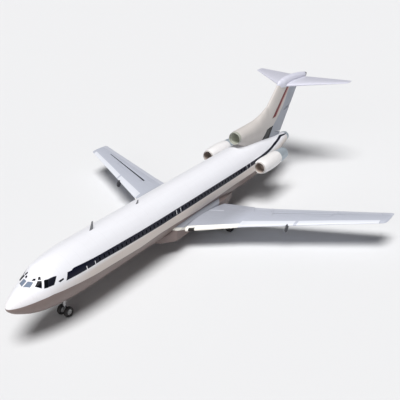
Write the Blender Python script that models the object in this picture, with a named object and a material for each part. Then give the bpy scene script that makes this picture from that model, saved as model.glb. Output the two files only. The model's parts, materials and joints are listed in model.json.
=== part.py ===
"""Half-scale narrow body airliner: three engines at the tail, T tail, standing on its landing gear.

All sizes below are those of the full-size aircraft, in metres. x runs to port from the centre plane,
s runs aft from the nose tip and z runs up from the ground. SCALE turns them into the model's own size.
"""

import math

import bmesh
import bpy
from mathutils import Matrix, Vector

SCALE = 0.5
LENGTH = 46.16

MERGE = 0.0001
SEAT = 0.0006
GAP = 0.012
PIN_RADIUS = 0.03
PIN_REACH = 0.05
PIN_PLAY = 0.0012

ROUND = 24
WHEEL_SIDES = 24

# Body: station, half width, crown height, height of the widest point, keel height.
BODY_STATIONS = (
    (0.10, 0.25, 3.62, 3.38, 3.12),
    (0.35, 0.47, 3.83, 3.40, 2.88),
    (0.80, 0.73, 4.04, 3.42, 2.61),
    (1.55, 1.05, 4.33, 3.46, 2.26),
    (1.90, 1.17, 4.47, 3.48, 2.13),
    (2.45, 1.35, 4.73, 3.52, 1.97),
    (2.90, 1.46, 4.99, 3.56, 1.88),
    (3.35, 1.56, 5.25, 3.59, 1.80),
    (4.20, 1.69, 5.44, 3.65, 1.70),
    (5.50, 1.82, 5.56, 3.70, 1.62),
    (7.00, 1.88, 5.60, 3.72, 1.59),
    (18.0, 1.88, 5.60, 3.72, 1.59),
    (30.0, 1.88, 5.60, 3.72, 1.59),
    (32.0, 1.86, 5.51, 3.72, 1.70),
    (34.0, 1.76, 5.24, 3.73, 1.98),
    (36.0, 1.54, 4.88, 3.73, 2.32),
    (38.0, 1.20, 4.52, 3.70, 2.66),
    (39.5, 0.88, 4.31, 3.66, 2.88),
    (40.8, 0.60, 4.18, 3.62, 3.02),
)
BODY_SIDES = 48
NOSE_TIP_HEIGHT = 3.37
RADOME_END = 1.55
BODY_END = 40.8

# Wing: span station, leading edge, trailing edge, thickness ratio, height of the chord plane.
WING_STATIONS = (
    (1.8812, 18.35, 24.98, 0.125, 1.950),
    (5.50, 20.95, 25.58, 0.105, 2.136),
    (5.80, 21.20, 25.70, 0.105, 2.152),
    (16.20, 27.42, 29.82, 0.090, 2.688),
)
WING_TIP = 16.46
# Fin: height, leading edge, trailing edge, thickness ratio, place of its plane.
FIN_STATIONS = (
    (4.00, 31.734, 39.597, 0.105, 0.0),
    (9.86, 38.885, 44.728, 0.095, 0.0),
)
FIN_TOP = 9.90
TAIL_STATIONS = (
    (0.4724, 40.05, 45.00, 0.095, 9.66),
    (5.35, 44.56, 45.98, 0.090, 9.62),
)
TAIL_TIP = 5.60
TRIM_PIVOT = (43.40, 9.66)
TRIM_PIN_RADIUS = 0.06
# The bullet's cheeks are flat here, beside the ribs of the tailplane.
CHEEK_X = 0.4604
BULLET_SQUARE = 0.35
FOOT_ROOM = 0.006
# Bullet at the fin's top: station, half width, underside, height of its widest point, top.
BULLET_STATIONS = (
    (38.95, 0.09, 9.72, 9.86, 9.98),
    (39.30, 0.25, 9.52, 9.84, 10.27),
    (40.00, 0.42, 9.46, 9.82, 10.42),
    (41.10, 0.475, 9.45, 9.80, 10.48),
    (42.50, 0.475, 9.45, 9.78, 10.43),
    (44.00, 0.475, 9.45, 9.74, 10.27),
    (45.00, 0.42, 9.46, 9.72, 10.13),
    (45.70, 0.24, 9.52, 9.72, 10.00),
    (46.16, 0.07, 9.64, 9.74, 9.86),
)

# Moving surfaces of the wing: hinge line from (x, s) to (x, s).
INBOARD_FLAP = ((1.905, 24.22), (4.75, 24.22))
INBOARD_AILERON = ((5.50, 24.114), (6.90, 24.768))
OUTBOARD_FLAP = ((7.06, 24.843), (12.20, 27.245))
OUTBOARD_AILERON = ((12.36, 27.320), (15.70, 28.881))
ELEVATOR = ((1.05, 43.86), (5.02, 45.41))
# Rudder hinge lines from (z, s) to (z, s).
LOWER_RUDDER = ((4.98, 38.52), (6.86, 40.38))
UPPER_RUDDER = ((7.08, 40.60), (9.30, 42.79))
# The rudders' level ends swing up and down as they turn about their leaning hinge lines.
RUDDER_GAPS = (0.085, 0.09)
CROWN_SLOPE = (-0.243, 0.970)
LEVEL = (0.0, 1.0)

FLAP_AXIS_DROP = 0.75
TRACK_STATIONS = {"inboard_flap": (2.15, 4.45), "outboard_flap": (8.6, 11.4)}
TRACK_WIDTH = 0.13
TRACK_DEPTH = 0.42

SLAT_SPAN = (5.85, 15.90)
SLAT_UPPER = 0.20
SLAT_LOWER = 0.035

SPOILER_THICKNESS = 0.040
INBOARD_SPOILER = (2.30, 4.60, 23.42)
OUTBOARD_SPOILER = (7.30, 11.90)
OUTBOARD_SPOILER_CHORD = 0.72
SPOILER_LAP = 0.14
SPOILER_END_GAP = 0.024

ENGINE_X = 2.95
ENGINE_Z = 4.14
COWL_START = 29.75
# Cowl and exhaust of a side engine: distance aft, radius.
COWL_PROFILE = (
    (0.0, 0.53), (0.05, 0.58), (0.25, 0.65), (0.75, 0.72), (1.6, 0.76), (2.7, 0.75),
    (3.55, 0.68), (3.55, 0.575), (1.6, 0.575), (0.9, 0.53), (0.35, 0.475), (0.06, 0.495),
)
COWL_LENGTH = COWL_PROFILE[6][0]
EXHAUST_PROFILE = ((0.0, 0.68), (0.75, 0.64), (1.65, 0.57), (1.65, 0.54), (0.75, 0.585), (0.0, 0.60))
ENGINE_BLOCK = ((0.0, 0.0), (0.0, 0.48), (0.5, 0.574), (2.2, 0.574), (2.3, 0.45), (3.5, 0.05), (3.5, 0.0))
BLOCK_START = 31.00
# Pylon: span, leading edge, trailing edge, thickness ratio, height.
PYLON_STATIONS = ((1.2, 30.9, 34.4, 0.08, 4.02), (2.75, 31.1, 34.0, 0.08, 4.10))
PYLON_TIP = 2.90
FAN_BLADES = 20
FAN_RADIUS = 0.505
HUB_RADIUS = 0.165
SHAFT_RADIUS = 0.05
FAN_S = 30.80
# Half widths of a blade as parts of the pitch, and the turn of its tip from edge to middle.
BLADE_ROOT = 0.28
BLADE_TIP = 0.09
BLADE_LEAD = 0.09
INTAKE_Z = 6.55
INTAKE_START = 30.15
# Fairing of the centre intake: station, height of the duct, half width, rise, depth, squareness.
INTAKE_STATIONS = (
    (30.15, 6.55, 0.65, 0.65, 0.65, 1.0),
    (30.50, 6.55, 0.69, 0.68, 0.80, 0.9),
    (31.20, 6.52, 0.71, 0.70, 1.30, 0.7),
    (32.50, 6.45, 0.70, 0.79, 1.60, 0.6),
    (34.20, 6.30, 0.62, 1.05, 1.60, 0.6),
    (35.60, 6.20, 0.50, 1.50, 1.60, 0.6),
    (36.50, 6.15, 0.40, 1.93, 1.60, 0.6),
    (37.60, 6.10, 0.20, 2.20, 1.60, 0.6),
)
NOZZLE_Z = 3.62
# The tail engine's block starts here, in its bore.
CORE_START = 37.4

# Fairing under the wing: station, half width, keel height, shoulder height.
BELLY_STATIONS = (
    (15.10, 0.55, 1.75, 2.05),
    (15.90, 1.20, 1.50, 2.30),
    (17.20, 1.88, 1.30, 2.70),
    (20.50, 1.88, 1.30, 2.86),
    (25.20, 1.88, 1.30, 2.70),
    (27.00, 1.45, 1.46, 2.50),
    (28.60, 0.70, 1.66, 2.10),
)
# Tall aerial: rise, front, rear, half width.
TALL_AERIAL = ((0.0, 8.45, 9.05, 0.035), (0.4, 8.72, 9.12, 0.024), (0.64, 8.95, 9.17, 0.012))
# Small aerials: front, rear, height, lean of the tip.
CROWN_AERIAL = (14.05, 14.40, 0.28, 0.16)
BELLY_AERIAL = (13.10, 13.60, 0.32, 0.30)
AERIAL_HALF_WIDTH = 0.035

NOSE_WHEEL_S = 5.26
NOSE_TYRE_RADIUS = 0.405
NOSE_TYRE_WIDTH = 0.29
NOSE_TYRE_X = 0.33
MAIN_WHEEL_S = 23.70
MAIN_LEG_X = 2.86
MAIN_TYRE_RADIUS = 0.6225
MAIN_TYRE_WIDTH = 0.43
MAIN_TYRE_OFFSET = 0.432
# The wing's pocket for a main leg reaches this far ahead of and behind the wheels.
POCKET_FRONT = 0.32
POCKET_REAR = 0.28
NOSE_BAY_HALF_WIDTH = 0.30

STAIR_START = 34.60
STAIR_END = 37.80
STAIR_HALF_WIDTH = 0.42
STAIR_HEIGHT = 0.36
STAIR_STEPS = 9
# The stair turns on side pins this far behind its front end and above the keel.
STAIR_PIN_BACK = 0.13
STAIR_PIN_RISE = 0.16
STAIR_PIN_RADIUS = 0.035
STAIR_WELL_ARC = 0.18
STAIR_WELL_TOP = 3.05

PAINTS = {
    "white_paint": ((0.83, 0.83, 0.84), 0.35, 0.0),
    "wing_grey": ((0.47, 0.49, 0.53), 0.45, 0.0),
    "belly_grey": ((0.36, 0.33, 0.32), 0.5, 0.0),
    "bare_metal": ((0.55, 0.56, 0.57), 0.3, 1.0),
    "exhaust_metal": ((0.30, 0.32, 0.34), 0.4, 1.0),
    "gear_paint": ((0.60, 0.60, 0.61), 0.4, 0.0),
    "tyre_rubber": ((0.02, 0.02, 0.02), 0.85, 0.0),
}


def clear_scene():
    """Remove every object of the open scene."""
    for thing in list(bpy.data.objects):
        bpy.data.objects.remove(thing, do_unlink=True)


def paint(name):
    """Return the material of that name, made on first use."""
    if name in bpy.data.materials:
        return bpy.data.materials[name]
    colour, roughness, metallic = PAINTS[name]
    material = bpy.data.materials.new(name)
    material.use_nodes = True
    shader = material.node_tree.nodes["Principled BSDF"]
    shader.inputs["Base Color"].default_value = (*colour, 1.0)
    shader.inputs["Roughness"].default_value = roughness
    shader.inputs["Metallic"].default_value = metallic
    return material


def model_point(x, s, z):
    """Return the model's own coordinates of a place on the full-size aircraft."""
    return Vector((x, s - LENGTH / 2.0, z)) * SCALE


def finish(name, bm, material="white_paint", pivot=(0.0, LENGTH / 2.0, 0.0)):
    """Turn a full-size mesh into the model's object, with its origin at the pivot."""
    bmesh.ops.remove_doubles(bm, verts=bm.verts, dist=MERGE)
    bmesh.ops.recalc_face_normals(bm, faces=bm.faces)
    origin = model_point(*pivot)
    for vert in bm.verts:
        vert.co = model_point(*vert.co) - origin
    mesh = bpy.data.meshes.new(name)
    bm.to_mesh(mesh)
    bm.free()
    mesh.shade_smooth()
    mesh.set_sharp_from_angle(angle=math.radians(35.0))
    thing = bpy.data.objects.new(name, mesh)
    thing.location = origin
    bpy.context.scene.collection.objects.link(thing)
    mesh.materials.append(paint(material))
    return thing


def combine(target, tool, operation="DIFFERENCE"):
    """Cut the target with the tool, or join the tool to it, and keep the tool as a wire guide."""
    tool.hide_render = True
    tool.display_type = "WIRE"
    modifier = target.modifiers.new(tool.name, "BOOLEAN")
    modifier.operation = operation
    modifier.solver = "EXACT"
    modifier.object = tool


def loft(rings, first_pole=None, last_pole=None, bm=None, crossed=()):
    """Return a closed mesh through rings of equal count, ended by flat caps or by poles.

    The strips named in crossed are split along their other diagonal.
    """
    bm = bm or bmesh.new()
    rows = [[bm.verts.new(point) for point in ring] for ring in rings]
    count = len(rows[0])
    for near, far in zip(rows, rows[1:]):
        for i in range(count):
            j = (i + 1) % count
            if i in crossed:
                bm.faces.new((near[i], near[j], far[i]))
                bm.faces.new((near[j], far[j], far[i]))
            else:
                bm.faces.new((near[i], near[j], far[j]))
                bm.faces.new((near[i], far[j], far[i]))
    for row, pole in ((rows[0], first_pole), (rows[-1], last_pole)):
        if pole is None:
            bm.faces.new(row)
            continue
        tip = bm.verts.new(pole)
        for i in range(count):
            bm.faces.new((row[i], row[(i + 1) % count], tip))
    return bm


def turned(profile, centre, axis, sides):
    """Return a mesh of revolution: profile points are (distance along the axis, radius)."""
    bm = bmesh.new()
    axis = Vector(axis).normalized()
    side = axis.orthogonal().normalized()
    centre = Vector(centre)
    verts = [bm.verts.new(centre + axis * along + side * radius) for along, radius in profile]
    pairs = list(zip(verts, verts[1:]))
    if profile[0][1] > 0.0:
        pairs.append((verts[-1], verts[0]))
    edges = [bm.edges.new(pair) for pair in pairs]
    bmesh.ops.spin(bm, geom=verts + edges, cent=centre, axis=axis, angle=2.0 * math.pi,
                   steps=sides, use_merge=False, use_duplicate=False)
    bmesh.ops.remove_doubles(bm, verts=bm.verts, dist=MERGE)
    return bm


def rod(start, end, radius, sides=16):
    """Return a round bar between two points."""
    start = Vector(start)
    run = Vector(end) - start
    axis = run.normalized()
    across = axis.orthogonal().normalized()
    above = axis.cross(across)
    rings = []
    for foot in (start, start + run):
        turn = [2.0 * math.pi * i / sides for i in range(sides)]
        rings.append([foot + (across * math.cos(a) + above * math.sin(a)) * radius for a in turn])
    return loft(rings)


def box(low, high):
    """Return a box between two corners."""
    rings = []
    for z in (low[2], high[2]):
        front = [(low[0], low[1], z), (high[0], low[1], z)]
        rear = [(high[0], high[1], z), (low[0], high[1], z)]
        rings.append(front + rear)
    return loft(rings)


def between(rows, value):
    """Return the row of a table at a value of its first column, read along straight lines."""
    for near, far in zip(rows, rows[1:]):
        if value <= far[0] or far is rows[-1]:
            part = (value - near[0]) / (far[0] - near[0])
            return [a + (b - a) * part for a, b in zip(near, far)]
    raise ValueError(value)


# Body


def body_ring(row, grow=0.0):
    """Return the body's cross-section: half circle above its widest point, half ellipse below."""
    s, width, crown, middle, keel = row
    ring = []
    for i in range(BODY_SIDES):
        angle = 2.0 * math.pi * i / BODY_SIDES
        height = (crown if math.sin(angle) > 0 else 2.0 * middle - keel) - middle + grow
        ring.append(((width + grow) * math.cos(angle), s, middle + height * math.sin(angle)))
    return ring


def body_shape(start, end, grow=0.0):
    """Return the body between two stations, widened by grow."""
    rows = [between(BODY_STATIONS, start)]
    rows += [row for row in BODY_STATIONS if start + 0.01 < row[0] < end - 0.01]
    rows.append(between(BODY_STATIONS, end))
    return loft([body_ring(row, grow) for row in rows])


def keel_height(s):
    """Return the height of the body's underside at a station."""
    return between(BODY_STATIONS, s)[4]


def build_body():
    """Build the pressure body, the radome and the fairing under the wing."""
    fuselage = finish("fuselage", body_shape(RADOME_END + SEAT, BODY_END))
    rows = [row for row in BODY_STATIONS if row[0] <= RADOME_END]
    finish("radome", loft([body_ring(row) for row in rows], first_pole=(0.0, 0.0, NOSE_TIP_HEIGHT)))

    edge = NOSE_BAY_HALF_WIDTH
    bay = finish("cut_nose_bay", box((-edge, NOSE_WHEEL_S - 0.36, 1.0), (edge, NOSE_WHEEL_S + 0.54, 2.35)))
    combine(fuselage, bay)
    bore = turned(((0.0, 0.0), (0.0, 0.50), (4.5, 0.50), (4.5, 0.0)), (0.0, CORE_START, NOZZLE_Z),
                  (0, 1, 0), ROUND)
    combine(fuselage, finish("cut_engine_bore", bore))
    combine(fuselage, finish("cut_stair_well", stair_well()))

    hinge = (0.0, *stair_hinge())
    stair = finish("airstair", body_shape(STAIR_START, STAIR_END), "belly_grey", hinge)
    combine(stair, finish("keep_airstair", stair_blank()), "INTERSECT")
    for side in (1, -1):
        foot = ((STAIR_HALF_WIDTH - 0.05) * side, *stair_hinge())
        tip = ((STAIR_HALF_WIDTH + GAP + PIN_REACH) * side, *stair_hinge())
        end = ((STAIR_HALF_WIDTH + GAP + PIN_REACH + SEAT) * side, *stair_hinge())
        combine(stair, finish(f"pin_airstair_{side}", rod(foot, tip, STAIR_PIN_RADIUS)), "UNION")
        combine(fuselage, finish(f"bore_airstair_{side}", rod(foot, end, STAIR_PIN_RADIUS + PIN_PLAY)))

    belly = finish("belly_fairing", belly_shape(), "belly_grey")
    combine(belly, finish("cut_belly", body_shape(10.0, 32.0, grow=SEAT)))
    for side in (1, -1):
        block = box((1.8806 * side, 16.0, 1.0), (3.0 * side, 26.0, 3.5))
        combine(belly, finish(f"cut_belly_side_{side}", block))


def stair_hinge():
    """Return the station and height of the line that the stair turns on."""
    s = STAIR_START + STAIR_PIN_BACK
    return s, keel_height(s) + STAIR_PIN_RISE


def stair_well():
    """Return the room for the stair: round about the hinge line in front, square behind."""
    s, z = stair_hinge()
    outline = [(STAIR_END + 2.0 * GAP, 1.0), (STAIR_END + 2.0 * GAP, STAIR_WELL_TOP)]
    outline.append((s - STAIR_WELL_ARC, STAIR_WELL_TOP))
    for degrees in (180, 205, 230, 248):
        angle = math.radians(degrees)
        outline.append((s + STAIR_WELL_ARC * math.cos(angle), z + STAIR_WELL_ARC * math.sin(angle)))
    outline.append((outline[-1][0], 1.0))
    edge = STAIR_HALF_WIDTH + GAP
    return loft([[(x, s, z) for s, z in outline] for x in (-edge, edge)])


def stair_blank():
    """Return the block that trims the stair from the body: stepped above, open below."""
    hinge_s, hinge_z = stair_hinge()
    outline = []
    pitch = (STAIR_END - STAIR_START) / STAIR_STEPS
    for i in range(STAIR_STEPS):
        s = STAIR_START + pitch * i
        level = keel_height(s) + STAIR_HEIGHT
        outline.append((s, level))
        outline.append((min(s + pitch * 0.98, STAIR_END - 0.09), level))
    outline += [(STAIR_END, keel_height(STAIR_END)), (STAIR_END, 1.2), (hinge_s - 0.04, 1.2),
                (hinge_s - 0.04, hinge_z - STAIR_PIN_RISE), (hinge_s - 0.092, hinge_z - 0.092),
                (STAIR_START, hinge_z)]
    return loft([[(x, s, z) for s, z in outline] for x in (-STAIR_HALF_WIDTH, STAIR_HALF_WIDTH)])


def belly_shape():
    """Return the solid fairing: flat sides for the wing roots, a flat keel and rounded edges."""
    rings = []
    for s, width, keel, shoulder in BELLY_STATIONS:
        lift = (shoulder - keel) * 0.12
        corner = width * 0.16
        half = [
            (width * 0.55, shoulder + 0.35),
            (width * 0.84, shoulder),
            (width, shoulder - (shoulder - keel) * 0.26),
            (width, keel + lift * 1.6),
            (width - corner * 0.35, keel + lift * 0.5),
            (width - corner * 1.3, keel + 0.02),
            (width * 0.35, keel),
        ]
        ring = [(x, s, z) for x, z in half] + [(-x, s, z) for x, z in reversed(half)]
        rings.append(ring)
    return loft(rings)


# Lifting surfaces


class Foil:
    """A wing, fin or tailplane: tapered sections between span stations."""

    UPPER = (1.0, 0.88, 0.76, 0.64, 0.52, 0.4, 0.28, 0.18, 0.1, 0.05, 0.02, 0.005)

    def __init__(self, stations, side=1, upright=False, camber=0.0):
        self.stations = [(p, lead, trail, ratio * (trail - lead), middle)
                         for p, lead, trail, ratio, middle in stations]
        self.side = side
        self.upright = upright
        self.camber = camber

    def place(self, p, s, q):
        """Return full-size coordinates of span p, station s and thickness coordinate q."""
        return Vector((q, s, p)) if self.upright else Vector((p * self.side, s, q))

    def skin(self, p, s, face):
        """Return the thickness coordinate of the upper (1) or lower (-1) face."""
        _, lead, trail, thickness, middle = between(self.stations, p)
        chord = trail - lead
        u = min(max((s - lead) / chord, 0.0), 1.0)
        body = 0.2969 * math.sqrt(u) - 0.1260 * u - 0.3516 * u**2 + 0.2843 * u**3 - 0.1036 * u**4
        half = 5.0 * thickness * body + 0.004 + 0.004 * u
        if u == 0.0:
            half = 0.0
        return middle + self.camber * chord * 4.0 * u * (1.0 - u) + face * half

    def ring(self, p, squeeze=1.0, trim=0.0):
        """Return the section at a span station, thinned by squeeze and shortened by trim."""
        _, lead, trail, _, middle = between(self.stations, p)
        points = []
        faces = [(u, 1) for u in self.UPPER] + [(0.0, 1)] + [(u, -1) for u in reversed(self.UPPER)]
        for u, face in faces:
            s = lead + (trail - lead) * u
            q = middle + (self.skin(p, s, face) - middle) * squeeze
            shifted = lead + trim + (trail - lead - trim * 1.1) * u
            points.append((shifted, q))
        return points

    def shape(self, tip):
        """Return the whole solid, with a rounded tip."""
        rows = [(station[0], self.ring(station[0])) for station in self.stations]
        last = self.stations[-1][0]
        reach = tip - last
        chord = self.stations[-1][2] - self.stations[-1][1]
        rows.append((last + reach * 0.62, self.ring(last, 0.72, chord * 0.06)))
        rows.append((tip, self.ring(last, 0.22, chord * 0.22)))
        return loft([[self.place(p, s, q) for s, q in points] for p, points in rows])


class Hinge:
    """A hinge line on a foil, with the axes that its moving surface is drawn in."""

    ARC = 8

    def __init__(self, foil, line, start_run=None, end_run=None):
        self.foil = foil
        (p0, s0), (p1, s1) = line
        self.ends = []
        run = Vector((p1 - p0, s1 - s0)).normalized()
        square = Vector((-run.y, run.x))
        for p, s, direction in ((p0, s0, start_run), (p1, s1, end_run)):
            upper = foil.skin(p, s, 1)
            lower = foil.skin(p, s, -1)
            direction = Vector(direction) if direction else square
            middle = (upper + lower) / 2.0
            radius = (upper - lower) / 2.0
            self.ends.append((p, s, middle, radius, direction, direction.dot(square)))
        first, last = self.ends
        self.start = foil.place(first[0], first[1], first[2])
        self.end = foil.place(last[0], last[1], last[2])
        self.axis = (self.end - self.start).normalized()
        self.aft = (Vector((0.0, 1.0, 0.0)) - self.axis * self.axis.y).normalized()
        self.up = self.aft.cross(self.axis).normalized()
        thick = foil.place(0.0, 0.0, 1.0) - foil.place(0.0, 0.0, 0.0)
        if self.up.dot(thick) < 0.0:
            self.up = -self.up

    def trailing(self, end):
        """Return the distance from the hinge to the trailing edge along an end of the surface."""
        p, s, _, _, direction, _ = self.ends[end]
        low, high = 0.0, 4.0
        for _ in range(40):
            reach = (low + high) / 2.0
            inside = s + direction.y * reach < between(self.foil.stations, p + direction.x * reach)[2]
            low, high = (reach, high) if inside else (low, reach)
        return low

    def point(self, end, back, height):
        """Return a point of an end plane: back is measured square to the hinge."""
        p, s, q, _, direction, cosine = self.ends[end]
        run = self.foil.place(direction.x, direction.y, 0.0) - self.foil.place(0.0, 0.0, 0.0)
        base = self.foil.place(p, s, q) + run * (back / cosine)
        return base + self.up * (height - self.plane_drift(end, back))

    def plane_drift(self, end, back):
        """Return how far an end plane's chord line climbs above the hinge plane."""
        _, _, _, _, direction, cosine = self.ends[end]
        run = self.foil.place(direction.x, direction.y, 0.0) - self.foil.place(0.0, 0.0, 0.0)
        return (run * (back / cosine)).dot(self.up)

    def surface(self):
        """Return the moving surface: a round nose on the hinge and the foil's own skin behind it."""
        rings = []
        for end in (0, 1):
            p, s, q, radius, direction, cosine = self.ends[end]
            length = self.trailing(end) * cosine
            ring = []
            for face in (1, -1):
                steps = (1.0, 0.66, 0.33) if face == 1 else (0.33, 0.66, 1.0)
                for part in steps:
                    back = length * part
                    reach = back / cosine
                    skin = self.foil.skin(p + direction.x * reach, s + direction.y * reach, face)
                    ring.append(self.point(end, back, skin - q))
                if face == 1:
                    for i in range(self.ARC + 1):
                        angle = math.pi / 2.0 + math.pi * i / self.ARC
                        ring.append(self.point(end, radius * math.cos(angle), radius * math.sin(angle)))
            rings.append(ring)
        return loft(rings)

    def cutter(self, gap, end_gaps):
        """Return the room that the surface needs in its foil."""
        rings = []
        for end in (0, 1):
            _, _, _, radius, _, _ = self.ends[end]
            radius += gap
            away = self.axis * (end_gaps[end] if end else -end_gaps[end])
            ring = []
            for i in range(self.ARC + 1):
                angle = math.pi / 2.0 + math.pi * i / self.ARC
                ring.append(self.point(end, radius * math.cos(angle), radius * math.sin(angle)) + away)
            far = 2.6
            for back, height in ((0.0, -0.8), (far, -0.8), (far, 0.8), (0.0, 0.8)):
                ring.append(self.point(end, back, height) + away)
            rings.append(ring)
        return loft(rings)


def hinged_surface(name, foil, fixed, line, material, gaps=(GAP, GAP), runs=(None, None)):
    """Build a surface on two end pins and cut its room and the pins' bores in the fixed foil."""
    hinge = Hinge(foil, line, *runs)
    middle = (hinge.start + hinge.end) / 2.0
    surface = finish(name, hinge.surface(), material, middle)
    combine(fixed, finish(f"cut_{name}", hinge.cutter(GAP, gaps)))
    ends = (("in", hinge.start, -hinge.axis, gaps[0]), ("out", hinge.end, hinge.axis, gaps[1]))
    for label, foot, away, gap in ends:
        start = foot - away * 0.06
        reach = gap + PIN_REACH
        pin = finish(f"pin_{label}_{name}", rod(start, foot + away * reach, PIN_RADIUS))
        combine(surface, pin, "UNION")
        bore = rod(start, foot + away * (reach + SEAT), PIN_RADIUS + PIN_PLAY)
        combine(fixed, finish(f"bore_{label}_{name}", bore))
    return hinge


def track_ring(hinge, span, back, half_width, depth, foil, sink=0.05):
    """Return a section of a flap track fairing, hung from the underside of the foil."""
    base = hinge.start + hinge.axis * (span - abs(hinge.start.x)) / max(abs(hinge.axis.x), 0.1)
    foot = base + hinge.aft * back
    lower = foil.skin(abs(foot.x), foot.y, -1)
    top = Vector((foot.x, foot.y, lower + sink))
    ring = []
    for across, drop in ((-1, 0.0), (1, 0.0), (1, 0.55), (0.6, 0.9), (0, 1.0), (-0.6, 0.9), (-1, 0.55)):
        ring.append(top + hinge.axis * (across * half_width) - hinge.up * (drop * (depth + sink)))
    return ring


def build_flap(name, kind, foil, fixed, line, material):
    """Build a flap whose tracks swing it back and down about a line below the wing."""
    hinge = Hinge(foil, line)
    drop = hinge.up * -FLAP_AXIS_DROP
    middle = (hinge.start + hinge.end) / 2.0 + drop
    flap = finish(name, hinge.surface(), material, middle)
    length = min(hinge.trailing(0), hinge.trailing(1))
    for i, span in enumerate(TRACK_STATIONS[kind]):
        rear = [track_ring(hinge, span, back, TRACK_WIDTH * w, TRACK_DEPTH * d, foil)
                for back, w, d in ((SEAT, 1.0, 1.0), (length * 0.45, 0.8, 0.7), (length * 0.9, 0.35, 0.15))]
        combine(flap, finish(f"track_rear_{i}_{name}", loft(rear)), "UNION")
        front = [track_ring(hinge, span, back, TRACK_WIDTH * w, TRACK_DEPTH * d, foil)
                 for back, w, d in ((-1.9, 0.25, 0.1), (-1.2, 0.8, 0.6), (-0.5, 1.0, 1.0), (0.1, 1.0, 1.0))]
        combine(fixed, finish(f"track_front_{i}_{name}", loft(front)), "UNION")
    combine(fixed, finish(f"cut_{name}", hinge.cutter(GAP, (GAP, GAP))))
    return hinge


def spoiler_floor(foil, rows):
    """Return the flat underside of a spoiler as a function of span and station."""
    (p0, f0, r0), (p1, f1, r1) = rows
    inner = foil.skin(p0, f0, 1) - SPOILER_THICKNESS
    outer = foil.skin(p1, f1, 1) - SPOILER_THICKNESS
    drops = [(foil.skin(p, r, 1) - SPOILER_THICKNESS - q) / (r - f)
             for p, f, r, q in ((p0, f0, r0, inner), (p1, f1, r1, outer))]
    slope = min(drops)
    climb = (outer - inner - slope * (f1 - f0)) / (p1 - p0)
    return lambda p, s: inner + climb * (p - p0) + slope * (s - f0)


def spoiler_plate(foil, rows):
    """Return a spoiler: the wing's own skin above, flat underneath."""
    floor = spoiler_floor(foil, rows)
    rings = []
    for p, front, rear in rows:
        places = [front, (front + rear) / 2.0, rear]
        ring = [foil.place(p, s, foil.skin(p, s, 1)) for s in places]
        ring += [foil.place(p, s, floor(p, s)) for s in reversed(places)]
        rings.append(ring)
    return loft(rings)


def spoiler_rows(kind):
    """Return the plan of a spoiler: hinge edge in front, free edge at the flap."""
    if kind == "inboard_spoiler":
        start, end, front = INBOARD_SPOILER
        rear = INBOARD_FLAP[0][1] - SPOILER_LAP
        return [(start, front, rear), (end, front, rear)]
    (p0, s0), (p1, s1) = OUTBOARD_FLAP
    slope = (s1 - s0) / (p1 - p0)
    rears = [(p, s0 + slope * (p - p0) - SPOILER_LAP) for p in OUTBOARD_SPOILER]
    return [(p, rear - OUTBOARD_SPOILER_CHORD, rear) for p, rear in rears]


def spoiler_recess(foil, rows):
    """Return the room for a spoiler, open above and behind."""
    floor = spoiler_floor(foil, rows)
    (p0, f0, r0), (p1, f1, r1) = rows
    rings = []
    for p, front, rear in ((p0 - SPOILER_END_GAP, f0, r0), (p1 + SPOILER_END_GAP, f1, r1)):
        front -= GAP
        rear += SPOILER_LAP
        ring = [foil.place(p, s, floor(p, s) - SEAT) for s in (front, rear)]
        ring += [foil.place(p, s, floor(p, s) + 0.5) for s in (rear, front)]
        rings.append(ring)
    return loft(rings)


def build_spoiler(name, kind, foil, fixed):
    """Build an air brake plate and its recess in the wing."""
    rows = spoiler_rows(kind)
    edge = [foil.place(p, front, foil.skin(p, front, 1)) for p, front, _ in rows]
    middle = (edge[0] + edge[1]) / 2.0
    finish(name, spoiler_plate(foil, rows), "wing_grey", middle)
    combine(fixed, finish(f"cut_{name}", spoiler_recess(foil, rows)))
    return edge


def slat_line(foil, p):
    """Return the ends of the slat's rear face at a span station."""
    _, lead, trail, _, _ = between(foil.stations, p)
    chord = trail - lead
    upper = lead + chord * SLAT_UPPER
    lower = lead + chord * SLAT_LOWER
    return Vector((upper, foil.skin(p, upper, 1))), Vector((lower, foil.skin(p, lower, -1)))


def build_slat(name, foil, fixed):
    """Build the slat along the outer leading edge and trim the fixed nose behind it."""
    rings = []
    for p in SLAT_SPAN:
        _, lead, trail, _, _ = between(foil.stations, p)
        chord = trail - lead
        ring = []
        places = [(SLAT_UPPER, 1), (0.15, 1), (0.1, 1), (0.05, 1), (0.02, 1), (0.005, 1), (0.0, 1)]
        places += [(0.005, -1), (0.02, -1), (SLAT_LOWER, -1)]
        for u, face in places:
            s = lead + chord * u
            ring.append(foil.place(p, s, foil.skin(p, s, face)))
        rings.append(ring)
    finish(name, loft(rings), "bare_metal", (foil.side * 10.0, 23.4, 2.3))
    rings = []
    for p in (SLAT_SPAN[0] - GAP, SLAT_SPAN[1] + GAP):
        upper, lower = slat_line(foil, p)
        run = (upper - lower).normalized()
        back = Vector((run.y, -run.x)) * SEAT
        low = lower - run * 0.25 + back
        high = upper + run * 0.35 + back
        front = low.x - 0.6
        ring = [low, lower + back, upper + back, high, Vector((high.x, high.y + 0.4)),
                Vector((front, high.y + 0.4)), Vector((front, low.y))]
        rings.append([foil.place(p, s, q) for s, q in ring])
    combine(fixed, finish(f"cut_{name}", loft(rings)))


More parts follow.
